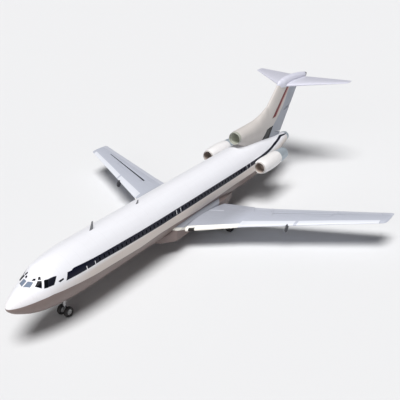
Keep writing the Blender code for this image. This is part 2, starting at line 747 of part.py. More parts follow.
def build_wing(side, word):
    """Build one wing with its moving surfaces."""
    foil = Foil(WING_STATIONS, side, camber=0.012)
    wing = finish(f"wing_{word}", foil.shape(WING_TIP), "wing_grey")
    hinges = {}
    for kind, line in (("inboard_flap", INBOARD_FLAP), ("outboard_flap", OUTBOARD_FLAP)):
        hinges[kind] = build_flap(f"{kind}_{word}", kind, foil, wing, line, "wing_grey")
    for kind, line in (("inboard_aileron", INBOARD_AILERON), ("outboard_aileron", OUTBOARD_AILERON)):
        hinges[kind] = hinged_surface(f"{kind}_{word}", foil, wing, line, "wing_grey")
    edges = {}
    for kind in ("inboard_spoiler", "outboard_spoiler"):
        edges[kind] = build_spoiler(f"{kind}_{word}", kind, foil, wing)
    build_slat(f"slat_{word}", foil, wing)
    low, high = sorted((2.1 * side, 3.25 * side))
    pocket = box((low, MAIN_WHEEL_S - POCKET_FRONT, 1.2), (high, MAIN_WHEEL_S + POCKET_REAR, 1.95))
    combine(wing, finish(f"cut_leg_pocket_{word}", pocket))
    return hinges, edges


# Tail


def intake_fairing():
    """Return the fairing of the centre intake, from its mouth to where it fades into the fin."""
    return loft([round_ring(*row) for row in INTAKE_STATIONS])


def build_fin():
    """Build the fin with its intake, both rudders and the bullet at its top."""
    foil = Foil(FIN_STATIONS, upright=True)
    fin = finish("fin", foil.shape(FIN_TOP))
    combine(fin, finish("join_intake_fairing", intake_fairing()), "UNION")
    combine(fin, finish("cut_fin_foot", body_shape(28.0, BODY_END, grow=SEAT)))
    duct = turned(((-0.2, 0.0), (-0.2, 0.56), (0.3, 0.54), (2.2, 0.54), (2.2, 0.0)),
                  (0.0, INTAKE_START, INTAKE_Z), (0.0, 1.0, -0.06), 32)
    combine(fin, finish("cut_duct", duct))
    hinges = {
        "lower_rudder": hinged_surface("lower_rudder", foil, fin, LOWER_RUDDER, "wing_grey",
                                       RUDDER_GAPS, (CROWN_SLOPE, LEVEL)),
        "upper_rudder": hinged_surface("upper_rudder", foil, fin, UPPER_RUDDER, "wing_grey",
                                       RUDDER_GAPS, (LEVEL, LEVEL)),
    }
    lip = turned(((0.0, 0.60), (0.06, 0.645), (0.25, 0.65), (0.25, 0.561), (0.10, 0.55), (0.02, 0.565)),
                 (0.0, INTAKE_START - 0.25 - SEAT, INTAKE_Z), (0, 1, 0), ROUND)
    finish("center_intake_lip", lip, "bare_metal")
    return hinges


def round_ring(s, middle, width, rise, depth, square, sides=24):
    """Return a section: half an ellipse above its middle, squarer below as square falls from 1."""
    ring = []
    for i in range(sides):
        angle = 2.0 * math.pi * i / sides
        c, v = math.cos(angle), math.sin(angle)
        if v >= 0.0:
            ring.append((width * c, s, middle + rise * v))
        else:
            across = math.copysign(abs(c) ** square, c)
            ring.append((width * across, s, middle - depth * abs(v) ** square))
    return ring


def bullet_shape():
    """Return the bullet fairing: round above, square below where the tailplane meets it."""
    return loft([round_ring(s, middle, width, high - middle, middle - low, BULLET_SQUARE)
                 for s, width, low, middle, high in BULLET_STATIONS])


def grown(stations, lift, room):
    """Return a foil's stations raised by lift, with room all round."""
    rows = []
    for p, lead, trail, ratio, middle in stations:
        chord = trail - lead + 2.0 * room
        ratio = (ratio * (trail - lead) + 2.0 * room) / chord
        rows.append((p + lift, lead - room, trail + room, ratio, middle))
    return rows


def build_tailplane():
    """Build the bullet, both halves of the trimming tailplane and their elevators."""
    bullet = finish("bullet_fairing", bullet_shape())
    foot = Foil(grown(FIN_STATIONS, SEAT, FOOT_ROOM), upright=True)
    combine(bullet, finish("cut_bullet_foot", foot.shape(FIN_TOP + SEAT)))
    for side in (1, -1):
        low, high = sorted((CHEEK_X * side, 1.0 * side))
        combine(bullet, finish(f"cut_cheek_{side}", box((low, 39.0, 9.0), (high, 47.0, 11.0))))
        bore = rod((0.30 * side, *TRIM_PIVOT), (0.70 * side, *TRIM_PIVOT), TRIM_PIN_RADIUS + PIN_PLAY, 24)
        combine(bullet, finish(f"bore_trim_{side}", bore))
    hinges = {}
    for side, word in ((1, "left"), (-1, "right")):
        foil = Foil(TAIL_STATIONS, side)
        half = finish(f"tailplane_{word}", foil.shape(TAIL_TIP), "white_paint", (0.0, *TRIM_PIVOT))
        hinges[word] = hinged_surface(f"elevator_{word}", foil, half, ELEVATOR, "white_paint")
        pin = rod((0.36 * side, *TRIM_PIVOT), (0.60 * side, *TRIM_PIVOT), TRIM_PIN_RADIUS, 24)
        combine(half, finish(f"pin_trim_{word}", pin), "UNION")
    return hinges


# Engines


def fan_ring(along, root, tip, lead):
    """Return a section of the fan: blades of tip radius on a hub of root radius."""
    ring = []
    pitch = 2.0 * math.pi / FAN_BLADES
    for index in range(FAN_BLADES):
        for part, radius, twist in ((-BLADE_ROOT, root, 0.0), (-BLADE_TIP, tip, lead),
                                    (BLADE_TIP, tip, lead), (BLADE_ROOT, root, 0.0)):
            turn = pitch * (index + part) + twist
            ring.append((radius * math.cos(turn), along, radius * math.sin(turn)))
    return ring


def fan_rotor(side):
    """Return a fan: domed hub, twisted blades and a stub shaft into the engine."""
    rows = ((-0.26, 0.06), (-0.17, 0.125), (0.0, HUB_RADIUS))
    rings = [fan_ring(along, radius, radius, 0.0) for along, radius in rows]
    rings.append(fan_ring(0.0, HUB_RADIUS, FAN_RADIUS, -BLADE_LEAD))
    rings.append(fan_ring(0.12, HUB_RADIUS, FAN_RADIUS, BLADE_LEAD))
    rows = ((0.12, HUB_RADIUS), (0.12, SHAFT_RADIUS), (0.32, SHAFT_RADIUS))
    rings += [fan_ring(along, radius, radius, 0.0) for along, radius in rows]
    # The two sides of a blade are split alike, so that they never meet.
    falling_sides = range(2, 4 * FAN_BLADES, 4)
    bm = loft(rings, (0.0, -0.28, 0.0), (0.0, 0.32, 0.0), crossed=falling_sides)
    bmesh.ops.translate(bm, verts=bm.verts, vec=(ENGINE_X * side, FAN_S, ENGINE_Z))
    return bm


def build_engine(side, word):
    """Build one side engine: cowl, fan, engine block, exhaust and pylon."""
    x = ENGINE_X * side
    centre = (x, COWL_START, ENGINE_Z)
    finish(f"cowl_{word}", turned(COWL_PROFILE, centre, (0, 1, 0), ROUND))
    block = finish(f"engine_{word}", turned(ENGINE_BLOCK, (x, BLOCK_START, ENGINE_Z), (0, 1, 0), ROUND),
                   "exhaust_metal")
    front = (x, BLOCK_START - 0.1, ENGINE_Z)
    rear = (x, BLOCK_START + 0.16, ENGINE_Z)
    combine(block, finish(f"bore_fan_{word}", rod(front, rear, SHAFT_RADIUS + PIN_PLAY, 24)))
    joint = (x, COWL_START + COWL_LENGTH + SEAT, ENGINE_Z)
    finish(f"exhaust_{word}", turned(EXHAUST_PROFILE, joint, (0, 1, 0), ROUND), "exhaust_metal")
    finish(f"fan_{word}", fan_rotor(side), "bare_metal", (x, FAN_S, ENGINE_Z))
    pylon = finish(f"pylon_{word}", Foil(PYLON_STATIONS, side).shape(PYLON_TIP))
    combine(pylon, finish(f"cut_pylon_body_{word}", body_shape(29.0, 38.0, grow=SEAT)))
    blank = [(along, radius + SEAT) for along, radius in COWL_PROFILE[1:7]]
    blank += [(COWL_LENGTH + along, radius + SEAT) for along, radius in EXHAUST_PROFILE[1:3]]
    blank = [(blank[0][0], 0.0)] + blank + [(blank[-1][0], 0.0)]
    combine(pylon, finish(f"cut_pylon_cowl_{word}", turned(blank, centre, (0, 1, 0), ROUND)))


def build_center_engine():
    """Build the tail engine as a block in its bore, and its nozzle."""
    block = turned(((0.0, 0.0), (0.0, 0.499), (2.4, 0.499), (2.6, 0.36), (3.6, 0.05), (3.6, 0.0)),
                   (0.0, CORE_START + SEAT, NOZZLE_Z), (0, 1, 0), ROUND)
    finish("center_engine", block, "exhaust_metal")
    nozzle = turned(((0.0, 0.575), (0.35, 0.52), (0.68, 0.45), (0.68, 0.42), (0.35, 0.46), (0.0, 0.50)),
                    (0.0, BODY_END + SEAT, NOZZLE_Z), (0, 1, 0), ROUND)
    finish("center_exhaust", nozzle, "exhaust_metal")


# Landing gear


def tyre_profile(radius, width, rim):
    """Return the outline of a tyre, round the wheel's axis."""
    half = width / 2.0
    flat = half * 0.62
    return ((-flat * 0.5, radius), (flat * 0.5, radius), (flat, radius * 0.985), (half * 0.9, radius * 0.93),
            (half, radius * 0.82), (half * 0.92, radius * 0.7), (half * 0.72, rim), (-half * 0.72, rim),
            (-half * 0.92, radius * 0.7), (-half, radius * 0.82), (-half * 0.9, radius * 0.93),
            (-flat, radius * 0.985))


def hub_profile(rim, half, near, axle):
    """Return half of a wheel pair's outline, from its outer cap to its axle at the middle."""
    inner = near - half * 0.72
    outer = near + half * 0.72
    return ((outer + 0.02, 0.0), (outer + 0.02, axle * 1.5), (outer - 0.05, axle * 1.8),
            (outer - 0.07, rim * 0.8), (outer, rim * 0.86), (outer, rim), (inner, rim),
            (inner, rim * 0.8), (inner + 0.05, axle * 1.6), (inner + 0.05, axle))


def wheel_pair(name, centre, radius, width, offset, axle, pivot):
    """Build two tyres and the hubs and axle that turn with them."""
    rim = radius * 0.52
    half = width / 2.0
    right = hub_profile(rim, half, offset, axle)
    left = [(-along, reach) for along, reach in reversed(right)]
    finish(f"{name}_hubs", turned(list(right) + left, centre, (1, 0, 0), WHEEL_SIDES), "gear_paint", pivot)
    for label, shift in (("left", offset), ("right", -offset)):
        middle = (centre[0] + shift, centre[1], centre[2])
        profile = tyre_profile(radius, width, rim + SEAT * 1.5)
        finish(f"{name}_tyre_{label}", turned(profile, middle, (1, 0, 0), WHEEL_SIDES), "tyre_rubber", pivot)


def bored_strut(name, bars, bore, pivot, material="gear_paint"):
    """Build a strut from joined bars, with a bore for its axle."""
    strut = finish(name, rod(*bars[0]), material, pivot)
    for i, bar in enumerate(bars[1:]):
        combine(strut, finish(f"bar_{i}_{name}", rod(*bar)), "UNION")
    if bore:
        combine(strut, finish(f"bore_{name}", rod(*bore, WHEEL_SIDES)))
    return strut


def build_nose_gear():
    """Build the nose leg, its steered fork and its wheels."""
    s = NOSE_WHEEL_S
    axle = 0.045
    centre = (0.0, s, NOSE_TYRE_RADIUS)
    wall = NOSE_BAY_HALF_WIDTH - SEAT
    bars = [((0, s, 2.25), (0, s, 0.95), 0.095), ((-wall, s, 2.15), (wall, s, 2.15), 0.06),
            ((0, s + 0.02, 1.25), (0, s + 0.40, 2.30), 0.045)]
    bored_strut("nose_leg", bars, None, (0.0, s, 2.15))
    low = 0.95 - SEAT
    bars = [((0, s, low), (0, s, NOSE_TYRE_RADIUS), 0.075), ((0, s, low), (0, s, low - 0.08), 0.11),
            ((-0.12, s, NOSE_TYRE_RADIUS), (0.12, s, NOSE_TYRE_RADIUS), 0.09)]
    bore = ((-0.2, s, NOSE_TYRE_RADIUS), (0.2, s, NOSE_TYRE_RADIUS), axle + PIN_PLAY)
    bored_strut("nose_fork", bars, bore, centre)
    wheel_pair("nose_wheel", centre, NOSE_TYRE_RADIUS, NOSE_TYRE_WIDTH, NOSE_TYRE_X, axle, centre)


def build_main_gear(side, word):
    """Build one main leg with its brace and door, and its twin wheels."""
    s = MAIN_WHEEL_S
    x = MAIN_LEG_X * side
    axle = 0.07
    centre = (x, s, MAIN_TYRE_RADIUS)
    front = s - POCKET_FRONT + SEAT
    rear = s + POCKET_REAR - SEAT
    bars = [((x, s, 1.93), (x, s, MAIN_TYRE_RADIUS), 0.13), ((x, front, 1.87), (x, rear, 1.87), 0.06),
            ((x - 0.05 * side, s, 1.15), (x - 0.62 * side, s, 1.86), 0.05),
            ((x - 0.18, s, MAIN_TYRE_RADIUS), (x + 0.18, s, MAIN_TYRE_RADIUS), 0.15),
            ((x, s, 1.62), (x + 0.30 * side, s, 1.62), 0.035)]
    bore = ((x - 0.3, s, MAIN_TYRE_RADIUS), (x + 0.3, s, MAIN_TYRE_RADIUS), axle + PIN_PLAY)
    bored_strut(f"main_leg_{word}", bars, bore, (x, s, 1.87))
    wheel_pair(f"main_wheel_{word}", centre, MAIN_TYRE_RADIUS, MAIN_TYRE_WIDTH, MAIN_TYRE_OFFSET,
               axle, centre)
    inner = x + (0.30 + SEAT) * side
    low, high = sorted((inner, inner + 0.035 * side))
    finish(f"main_door_{word}", box((low, s - 0.36, 1.29), (high, s + 0.30, 1.78)), "white_paint")


def blade(rows):
    """Return a leaning blade through sections of height, front, rear and half width."""
    rings = []
    for z, front, rear, half in rows:
        middle = (front * 0.6 + rear * 0.4)
        edge = half * 0.2
        rings.append([(edge, front, z), (half, middle, z), (edge, rear, z),
                      (-edge, rear, z), (-half, middle, z), (-edge, front, z)])
    return loft(rings)


def fused_aerial(fuselage, name, aerial, foot, up):
    """Join a small blade to the body's crown (up 1) or keel (up -1)."""
    front, rear, height, lean = aerial
    sunk = foot - 0.05 * up
    tip = foot + height * up
    rows = ((sunk, front, rear, AERIAL_HALF_WIDTH), (tip, front + lean, rear, AERIAL_HALF_WIDTH * 0.5))
    combine(fuselage, finish(name, blade(rows)), "UNION")


def build_antennas():
    """Build the tall blade antenna and join the two small ones to the body."""
    crown = between(BODY_STATIONS, TALL_AERIAL[0][1])[2]
    rows = [(crown + SEAT + rise, front, rear, half) for rise, front, rear, half in TALL_AERIAL]
    finish("blade_antenna", blade(rows), "exhaust_metal")
    fuselage = bpy.data.objects["fuselage"]
    fused_aerial(fuselage, "join_crown_aerial", CROWN_AERIAL, crown, 1)
    fused_aerial(fuselage, "join_belly_aerial", BELLY_AERIAL, keel_height(BELLY_AERIAL[0]), -1)


def build():
    """Build every piece of the aircraft."""
    clear_scene()
    build_body()
    for side, word in ((1, "left"), (-1, "right")):
        build_wing(side, word)
        build_engine(side, word)
        build_main_gear(side, word)
    build_fin()
    build_tailplane()
    build_center_engine()
    build_nose_gear()
    build_antennas()


build()
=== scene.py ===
"""Half-scale narrow body airliner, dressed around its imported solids.

Sizes are those of the full-size aircraft in metres: x runs to port from the centre plane, s runs aft from
the nose tip and z runs up from the ground. at() turns them into the model's own half-scale coordinates.
"""

import bisect
import json
import logging
import math
from dataclasses import dataclass, field
from enum import Enum
from functools import partialmethod
from typing import Sequence

import bmesh
import bpy
from mathutils import Matrix, Vector


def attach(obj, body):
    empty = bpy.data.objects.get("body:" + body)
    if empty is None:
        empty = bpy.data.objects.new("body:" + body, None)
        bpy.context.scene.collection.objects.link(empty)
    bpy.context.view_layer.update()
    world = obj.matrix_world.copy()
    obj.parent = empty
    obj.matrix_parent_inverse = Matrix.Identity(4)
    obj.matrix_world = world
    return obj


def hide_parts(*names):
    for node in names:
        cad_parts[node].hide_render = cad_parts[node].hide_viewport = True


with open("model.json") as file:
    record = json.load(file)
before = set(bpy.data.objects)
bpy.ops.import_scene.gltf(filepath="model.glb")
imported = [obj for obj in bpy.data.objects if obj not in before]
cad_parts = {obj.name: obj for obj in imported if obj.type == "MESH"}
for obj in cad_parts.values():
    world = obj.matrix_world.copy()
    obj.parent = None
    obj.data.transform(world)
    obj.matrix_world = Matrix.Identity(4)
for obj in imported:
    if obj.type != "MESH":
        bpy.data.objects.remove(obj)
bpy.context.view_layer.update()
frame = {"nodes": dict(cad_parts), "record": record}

LOG = logging.getLogger("airliner")

SCALE = 0.5
LENGTH = 46.16
Point = tuple[float, float, float]
Line = Sequence[tuple[float, float]]
Piece = bpy.types.Object
Finish = bpy.types.Material
PORT: Point = (1.0, 0.0, 0.0)
AFT: Point = (0.0, 1.0, 0.0)
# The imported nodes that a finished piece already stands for.
REPLACED: set[str] = set()


def at(x: float, s: float, z: float) -> Vector:
    """Return the model's coordinates of a place on the full-size aircraft.

    Args:
        x: metres to port of the centre plane.
        s: metres aft of the nose tip.
        z: metres above the ground.

    Returns:
        The place in the half-scale model's frame.
    """
    return Vector((x, s - LENGTH / 2.0, z)) * SCALE


class Side(Enum):
    """The two sides of the aircraft."""

    LEFT = 1
    RIGHT = -1

    @property
    def word(self) -> str:
        """Return the side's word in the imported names."""
        return self.name.lower()


def linear(colour: str) -> tuple[float, ...]:
    """Turn an sRGB colour into linear light.

    Args:
        colour: six hex digits.

    Returns:
        Red, green, blue and an opaque alpha.
    """
    values = [byte / 255.0 for byte in bytes.fromhex(colour)]
    return (*(v / 12.92 if v <= 0.04045 else ((v + 0.055) / 1.055) ** 2.4 for v in values), 1.0)


def eased(rows: Sequence[Sequence[float]], value: float) -> list[float]:
    """Read a table of stations along smooth curves that never overshoot.

    Args:
        rows: stations, each led by its place along the axis.
        value: the place to read at.

    Returns:
        The row at that place.
    """
    places = [row[0] for row in rows]
    k = min(max(bisect.bisect_right(places, value) - 1, 0), len(rows) - 2)
    step = places[k + 1] - places[k]
    t = min(max((value - places[k]) / step, 0.0), 1.0)
    result = [value]
    for column in range(1, len(rows[0])):
        slopes = []
        for j in (k, k + 1):
            if 0 < j < len(rows) - 1:
                before = (rows[j][column] - rows[j - 1][column]) / (places[j] - places[j - 1])
                after = (rows[j + 1][column] - rows[j][column]) / (places[j + 1] - places[j])
                slopes.append(0.0 if before * after <= 0.0 else 2.0 * before * after / (before + after))
            else:
                slopes.append((rows[k + 1][column] - rows[k][column]) / step)
        start, end = rows[k][column], rows[k + 1][column]
        result.append(start * (2 * t**3 - 3 * t**2 + 1) + slopes[0] * step * (t**3 - 2 * t**2 + t)
                      + end * (3 * t**2 - 2 * t**3) + slopes[1] * step * (t**3 - t**2))
    return result


# Modelling, as by hand


def deselect() -> None:
    """Leave edit mode and select nothing."""
    if bpy.context.object and bpy.context.object.mode != "OBJECT":
        bpy.ops.object.mode_set(mode="OBJECT")
    bpy.ops.object.select_all(action="DESELECT")


def activate(piece: Piece) -> None:
    """Select one object alone and make it the active one.

    Args:
        piece: the object.
    """
    deselect()
    piece.select_set(True)
    bpy.context.view_layer.objects.active = piece


def named(name: str) -> Piece:
    """Name the object that an operator has just added, and return it.

    Args:
        name: the object's new name.

    Returns:
        The object.
    """
    piece = bpy.context.object
    piece.name = name
    piece.data.name = name
    return piece


def settle(piece: Piece) -> Piece:
    """Leave edit mode and put the piece's place, turn and size into its mesh.

    Args:
        piece: the object.

    Returns:
        The same object.
    """
    activate(piece)
    bpy.ops.object.transform_apply(location=True, rotation=True, scale=True)
    return piece


def modify(piece: Piece, kind: str, **settings: object) -> Piece:
    """Add one modifier with its settings and apply it.

    Args:
        piece: the mesh object to change.
        kind: the modifier's type.
        settings: values of the modifier's own properties.

    Returns:
        The changed object.
    """
    activate(piece)
    modifier = piece.modifiers.new(kind.lower(), kind)
    for key, value in settings.items():
        setattr(modifier, key, value)
    bpy.ops.object.modifier_apply(modifier=modifier.name)
    return piece


def cut(piece: Piece, tool: Piece) -> None:
    """Cut a tool body's shape out of the piece and remove the tool."""
    modify(piece, "BOOLEAN", operation="DIFFERENCE", solver="EXACT", object=tool)
    bpy.data.objects.remove(tool, do_unlink=True)


def face_outwards(piece: Piece) -> Piece:
    """Turn all of the piece's faces outwards.

    Args:
        piece: the mesh object.

    Returns:
        The same object.
    """
    activate(piece)
    bpy.ops.object.mode_set(mode="EDIT")
    bpy.ops.mesh.select_all(action="SELECT")
    bpy.ops.mesh.normals_make_consistent(inside=False)
    bpy.ops.object.mode_set(mode="OBJECT")
    return piece


def smooth(piece: Piece, degrees: float) -> Piece:
    """Shade the piece smooth except across edges sharper than the angle.

    Args:
        piece: the mesh object.
        degrees: the angle above which an edge stays sharp.

    Returns:
        The same object.
    """
    activate(piece)
    bpy.ops.object.shade_smooth_by_angle(angle=math.radians(degrees))
    return piece


def joined(name: str, pieces: Sequence[Piece]) -> Piece:
    """Join several objects into one named piece.

    Args:
        name: the joined object's name.
        pieces: the objects, of which the first takes in the others.

    Returns:
        The joined object.
    """
    activate(pieces[0])
    for piece in pieces[1:]:
        piece.select_set(True)
    bpy.ops.object.join()
    return named(name)


def copied(piece: Piece, name: str, matrix: Matrix) -> Piece:
    """Copy a piece with its own mesh, placed by a matrix, and keep its faces outwards.

    Args:
        piece: the object to copy.
        name: the copy's name.
        matrix: what the copy's mesh is moved by.

    Returns:
        The copy.
    """
    twin = bpy.data.objects.new(name, piece.data.copy())
    twin.data.name = name
    bpy.context.scene.collection.objects.link(twin)
    twin.data.transform(matrix)
    if matrix.determinant() < 0.0:
        twin.data.flip_normals()
    return twin


def mirrored(piece: Piece, name: str) -> Piece:
    """Copy a piece to the other side of the centre plane."""
    return copied(piece, name, Matrix.Diagonal((-1.0, 1.0, 1.0, 1.0)))


def both_sides(piece: Piece, sides: Sequence[Side] = tuple(Side)) -> None:
    """Mirror a port piece whose name ends in left, and let those of the sides ride on the airframe.

    Args:
        piece: the port piece, in its place.
        sides: the sides that keep their piece.
    """
    twin = mirrored(piece, piece.name.replace("_left", "_right"))
    for mirror, side in ((piece, Side.LEFT), (twin, Side.RIGHT)):
        if side in sides:
            present(mirror, "airframe")
        else:
            bpy.data.objects.remove(mirror, do_unlink=True)


def drawn(name: str, points: Sequence[Vector]) -> Piece:
    """Draw a closed outline through the points, and stay in edit mode.

    Args:
        name: the new object's name.
        points: the outline, in the model's coordinates.

    Returns:
        The new object, with edges alone.
    """
    deselect()
    bpy.ops.mesh.primitive_circle_add(vertices=len(points), enter_editmode=True)
    piece = named(name)
    for vert, point in zip(bmesh.from_edit_mesh(piece.data).verts, points):
        vert.co = point
    bmesh.update_edit_mesh(piece.data)
    return piece


def extruded(name: str, rings: Sequence[Sequence[Vector]], tip: Vector | None = None) -> Piece:
    """Draw a ring, extrude it from section to section and close both ends.

    Args:
        name: the new object's name.
        rings: sections of equal count, in the model's coordinates.
        tip: the point that the first section closes in, or None for a flat cap.

    Returns:
        The new object, with its faces outwards.
    """
    piece = drawn(name, rings[0])
    rows = [list(range(len(rings[0])))]
    for ring in rings[1:]:
        bpy.ops.mesh.extrude_region_move()
        mesh = bmesh.from_edit_mesh(piece.data)
        mesh.verts.ensure_lookup_table()
        # Each new point still lies on the one that it came from, and is found by its place.
        spots = {tuple(round(c, 7) for c in vert.co): vert for vert in mesh.verts if vert.select}
        ordered = [spots[tuple(round(c, 7) for c in mesh.verts[index].co)] for index in rows[-1]]
        rows.append([vert.index for vert in ordered])
        for vert, point in zip(ordered, ring):
            vert.co = point
    bmesh.update_edit_mesh(piece.data)
    for indices, pole in ((rows[0], tip), (rows[-1], None)):
        mesh = bmesh.from_edit_mesh(piece.data)
        mesh.verts.ensure_lookup_table()
        bpy.ops.mesh.select_all(action="DESELECT")
        for index in indices:
            mesh.verts[index].select = True
        mesh.select_flush(True)
        bmesh.update_edit_mesh(piece.data)
        bpy.ops.mesh.edge_face_add()
        if pole is not None:
            bpy.ops.mesh.poke()
            mesh = bmesh.from_edit_mesh(piece.data)
            mesh.verts.ensure_lookup_table()
            mesh.verts[len(mesh.verts) - 1].co = pole
            bmesh.update_edit_mesh(piece.data)
    return face_outwards(piece)


def spaced(start: float, end: float, count: int) -> list[float]:
    """Return evenly spaced numbers, both ends among them."""
    return [start + (end - start) * i / (count - 1) for i in range(count)]


def block(name: str, low: Point, high: Point, edge: float = 0.0) -> Piece:
    """Build a block between two corners given in full-size metres.

    Args:
        name: the object's name.
        low: its lowest corner.
        high: its highest corner.
        edge: the bevel along its edges, full-size metres.

    Returns:
        The block.
    """
    deselect()
    start, end = at(*low), at(*high)
    bpy.ops.mesh.primitive_cube_add(size=1.0, location=(start + end) / 2.0)
    piece = named(name)
    piece.scale = [abs(extent) for extent in end - start]
    settle(piece)
    if edge:
        modify(piece, "BEVEL", width=edge * SCALE, segments=2, limit_method="ANGLE")
    return piece


def lathe(name: str, profile: Line, centre: Point, axis: Point, steps: int) -> Piece:
    """Spin a closed outline about an axis.

    Args:
        name: the object's name.
        profile: distance along the axis and radius of each point, full-size metres.
        centre: the axis's starting point.
        axis: its direction.
        steps: sections round the turn.

    Returns:
        The turned piece.
    """
    start, along = at(*centre), Vector(axis)
    side = along.orthogonal().normalized()
    piece = drawn(name, [start + (along * run + side * radius) * SCALE for run, radius in profile])
    mesh = bmesh.from_edit_mesh(piece.data)
    # An edge on the axis itself would sweep out nothing.
    on_axis = [edge for edge in mesh.edges if all(profile[vert.index][1] < 1e-6 for vert in edge.verts)]
    bmesh.ops.delete(mesh, geom=on_axis, context="EDGES")
    bmesh.update_edit_mesh(piece.data)
    bpy.ops.mesh.select_all(action="SELECT")
    bpy.ops.mesh.spin(steps=steps, angle=2.0 * math.pi, center=start, axis=along)
    bpy.ops.mesh.select_all(action="SELECT")
    bpy.ops.mesh.remove_doubles(threshold=0.00005)
    return face_outwards(piece)


def bar(name: str, start: Point, end: Point, radius: float, sides: int = 24,
        edge: float = 0.006) -> Piece:
    """Build a round bar between two places, with its ends' edges eased.

    Args:
        name: the object's name.
        start: the centre of one end, full-size metres.
        end: the centre of the other end.
        radius: the bar's radius, full-size metres.
        sides: how many flat sides it has.
        edge: the bevel along its edges, full-size metres.

    Returns:
        The bar.
    """
    deselect()
    foot, tip = at(*start), at(*end)
    run = tip - foot
    bpy.ops.mesh.primitive_cylinder_add(vertices=sides, radius=radius * SCALE, depth=run.length,
                                        location=(foot + tip) / 2.0,
                                        rotation=run.to_track_quat("Z", "Y").to_euler())
    piece = settle(named(name))
    modify(piece, "BEVEL", width=edge * SCALE, segments=2, limit_method="ANGLE",
           angle_limit=math.radians(50.0))
    return smooth(piece, 40.0)


def present(piece: Piece, body: str, paint: Finish | None = None,
            node: str | None = None) -> None:
    """Let a finished piece ride on its body, take its slot and stand for its node.

    Args:
        piece: the finished piece.
        body: the body that it moves with.
        paint: the finish of the whole piece, or None where its faces have theirs.
        node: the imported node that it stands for, or None where it is extra.
    """
    if paint:
        piece.data.materials.clear()
        piece.data.materials.append(paint)
    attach(piece, body)
    if node:
        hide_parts(node)
        REPLACED.add(node)
    LOG.info("%s: %d faces on %s", piece.name, len(piece.data.polygons), body)


# Finishes


def feed(node: bpy.types.Node, values: dict[str | int, object]) -> None:
    """Link or set a node's inputs, by name or number; a hex colour turns into linear light.

    Args:
        node: the shader node.
        values: signals, numbers, vectors or hex colours by the input's name or number.
    """
    for key, value in values.items():
        if isinstance(value, Signal):
            node.id_data.links.new(value.socket, node.inputs[key])
        else:
            node.inputs[key].default_value = linear(value) if isinstance(value, str) else value


def shade(tree: bpy.types.NodeTree, kind: str, values: dict[str | int, object] | None = None,
          **settings: object) -> bpy.types.Node:
    """Add one shader node.

    Args:
        tree: the node tree that it goes into.
        kind: the node's type name.
        values: signals or values of its inputs, by name or number.
        settings: values of the node's own properties.

    Returns:
        The new node.
    """
    node = tree.nodes.new(kind)
    for key, value in settings.items():
        setattr(node, key, value)
    feed(node, values or {})
    return node


class Signal:
    """One output of a shader node; arithmetic on it adds nodes to the same tree."""

    def __init__(self, node: bpy.types.Node, output: str | int = 0) -> None:
        """Hold a node's output."""
        self.tree = node.id_data
        self.socket = node.outputs[output]

    def through(self, kind: str, *others: object, **settings: object) -> "Signal":
        """Return what a node of a kind makes of this signal and the others, in the order of its inputs."""
        return Signal(shade(self.tree, kind, dict(enumerate((self, *others))), **settings))

    __add__ = partialmethod(through, "ShaderNodeMath", operation="ADD")
    __sub__ = partialmethod(through, "ShaderNodeMath", operation="SUBTRACT")
    __rsub__ = partialmethod(through, "ShaderNodeMath", -1.0, operation="MULTIPLY_ADD")
    __mul__ = partialmethod(through, "ShaderNodeMath", operation="MULTIPLY")
    __truediv__ = partialmethod(through, "ShaderNodeMath", operation="DIVIDE")
    __lt__ = partialmethod(through, "ShaderNodeMath", operation="LESS_THAN")
    __gt__ = partialmethod(through, "ShaderNodeMath", operation="GREATER_THAN")

    def ramp(self, width: float) -> "Signal":
        """Rise from nought to one while the signal rises from nought to the width."""
        return self.through("ShaderNodeMath", width, operation="DIVIDE", use_clamp=True)

    def band(self, low: object, high: object, edge: float = 0.0008) -> "Signal":
        """Return one where the signal lies between low and high, with a soft painted edge in metres."""
        return (self - low).ramp(edge) * (high - self).ramp(edge)

    def within(self, limits: tuple[float, float], edge: float = 0.0008) -> "Signal":
        """Return one between two limits in full-size metres."""
        return self.band(limits[0] * SCALE, limits[1] * SCALE, edge)

    def spread(self, low: float, high: float, start: float = 0.0, end: float = 1.0) -> "Signal":
        """Run from low to high while the signal runs from start to end."""
        return (self - start).ramp(end - start) * (high - low) + low

    def along(self, corners: Line) -> "Signal":
        """Return the station in the model's metres that goes with a span or height, by full-size corners.

        Args:
            corners: span or height, and station, of each corner in full-size metres.

        Returns:
            The station on the line through the corners.
        """
        place: object = at(0, corners[0][1], 0).y
        for (p0, s0), (p1, s1) in zip(corners, corners[1:]):
            place = self.spread(0.0, (s1 - s0) * SCALE, p0 * SCALE, p1 * SCALE) + place
        return place

    def seams(self, pitch_mm: float, width_mm: float) -> "Signal":
        """Return one on thin lines that repeat along the signal, with the pitch and width of the model."""
        return (self / (pitch_mm / 1000.0)).through("ShaderNodeMath", operation="FRACT") < width_mm / pitch_mm


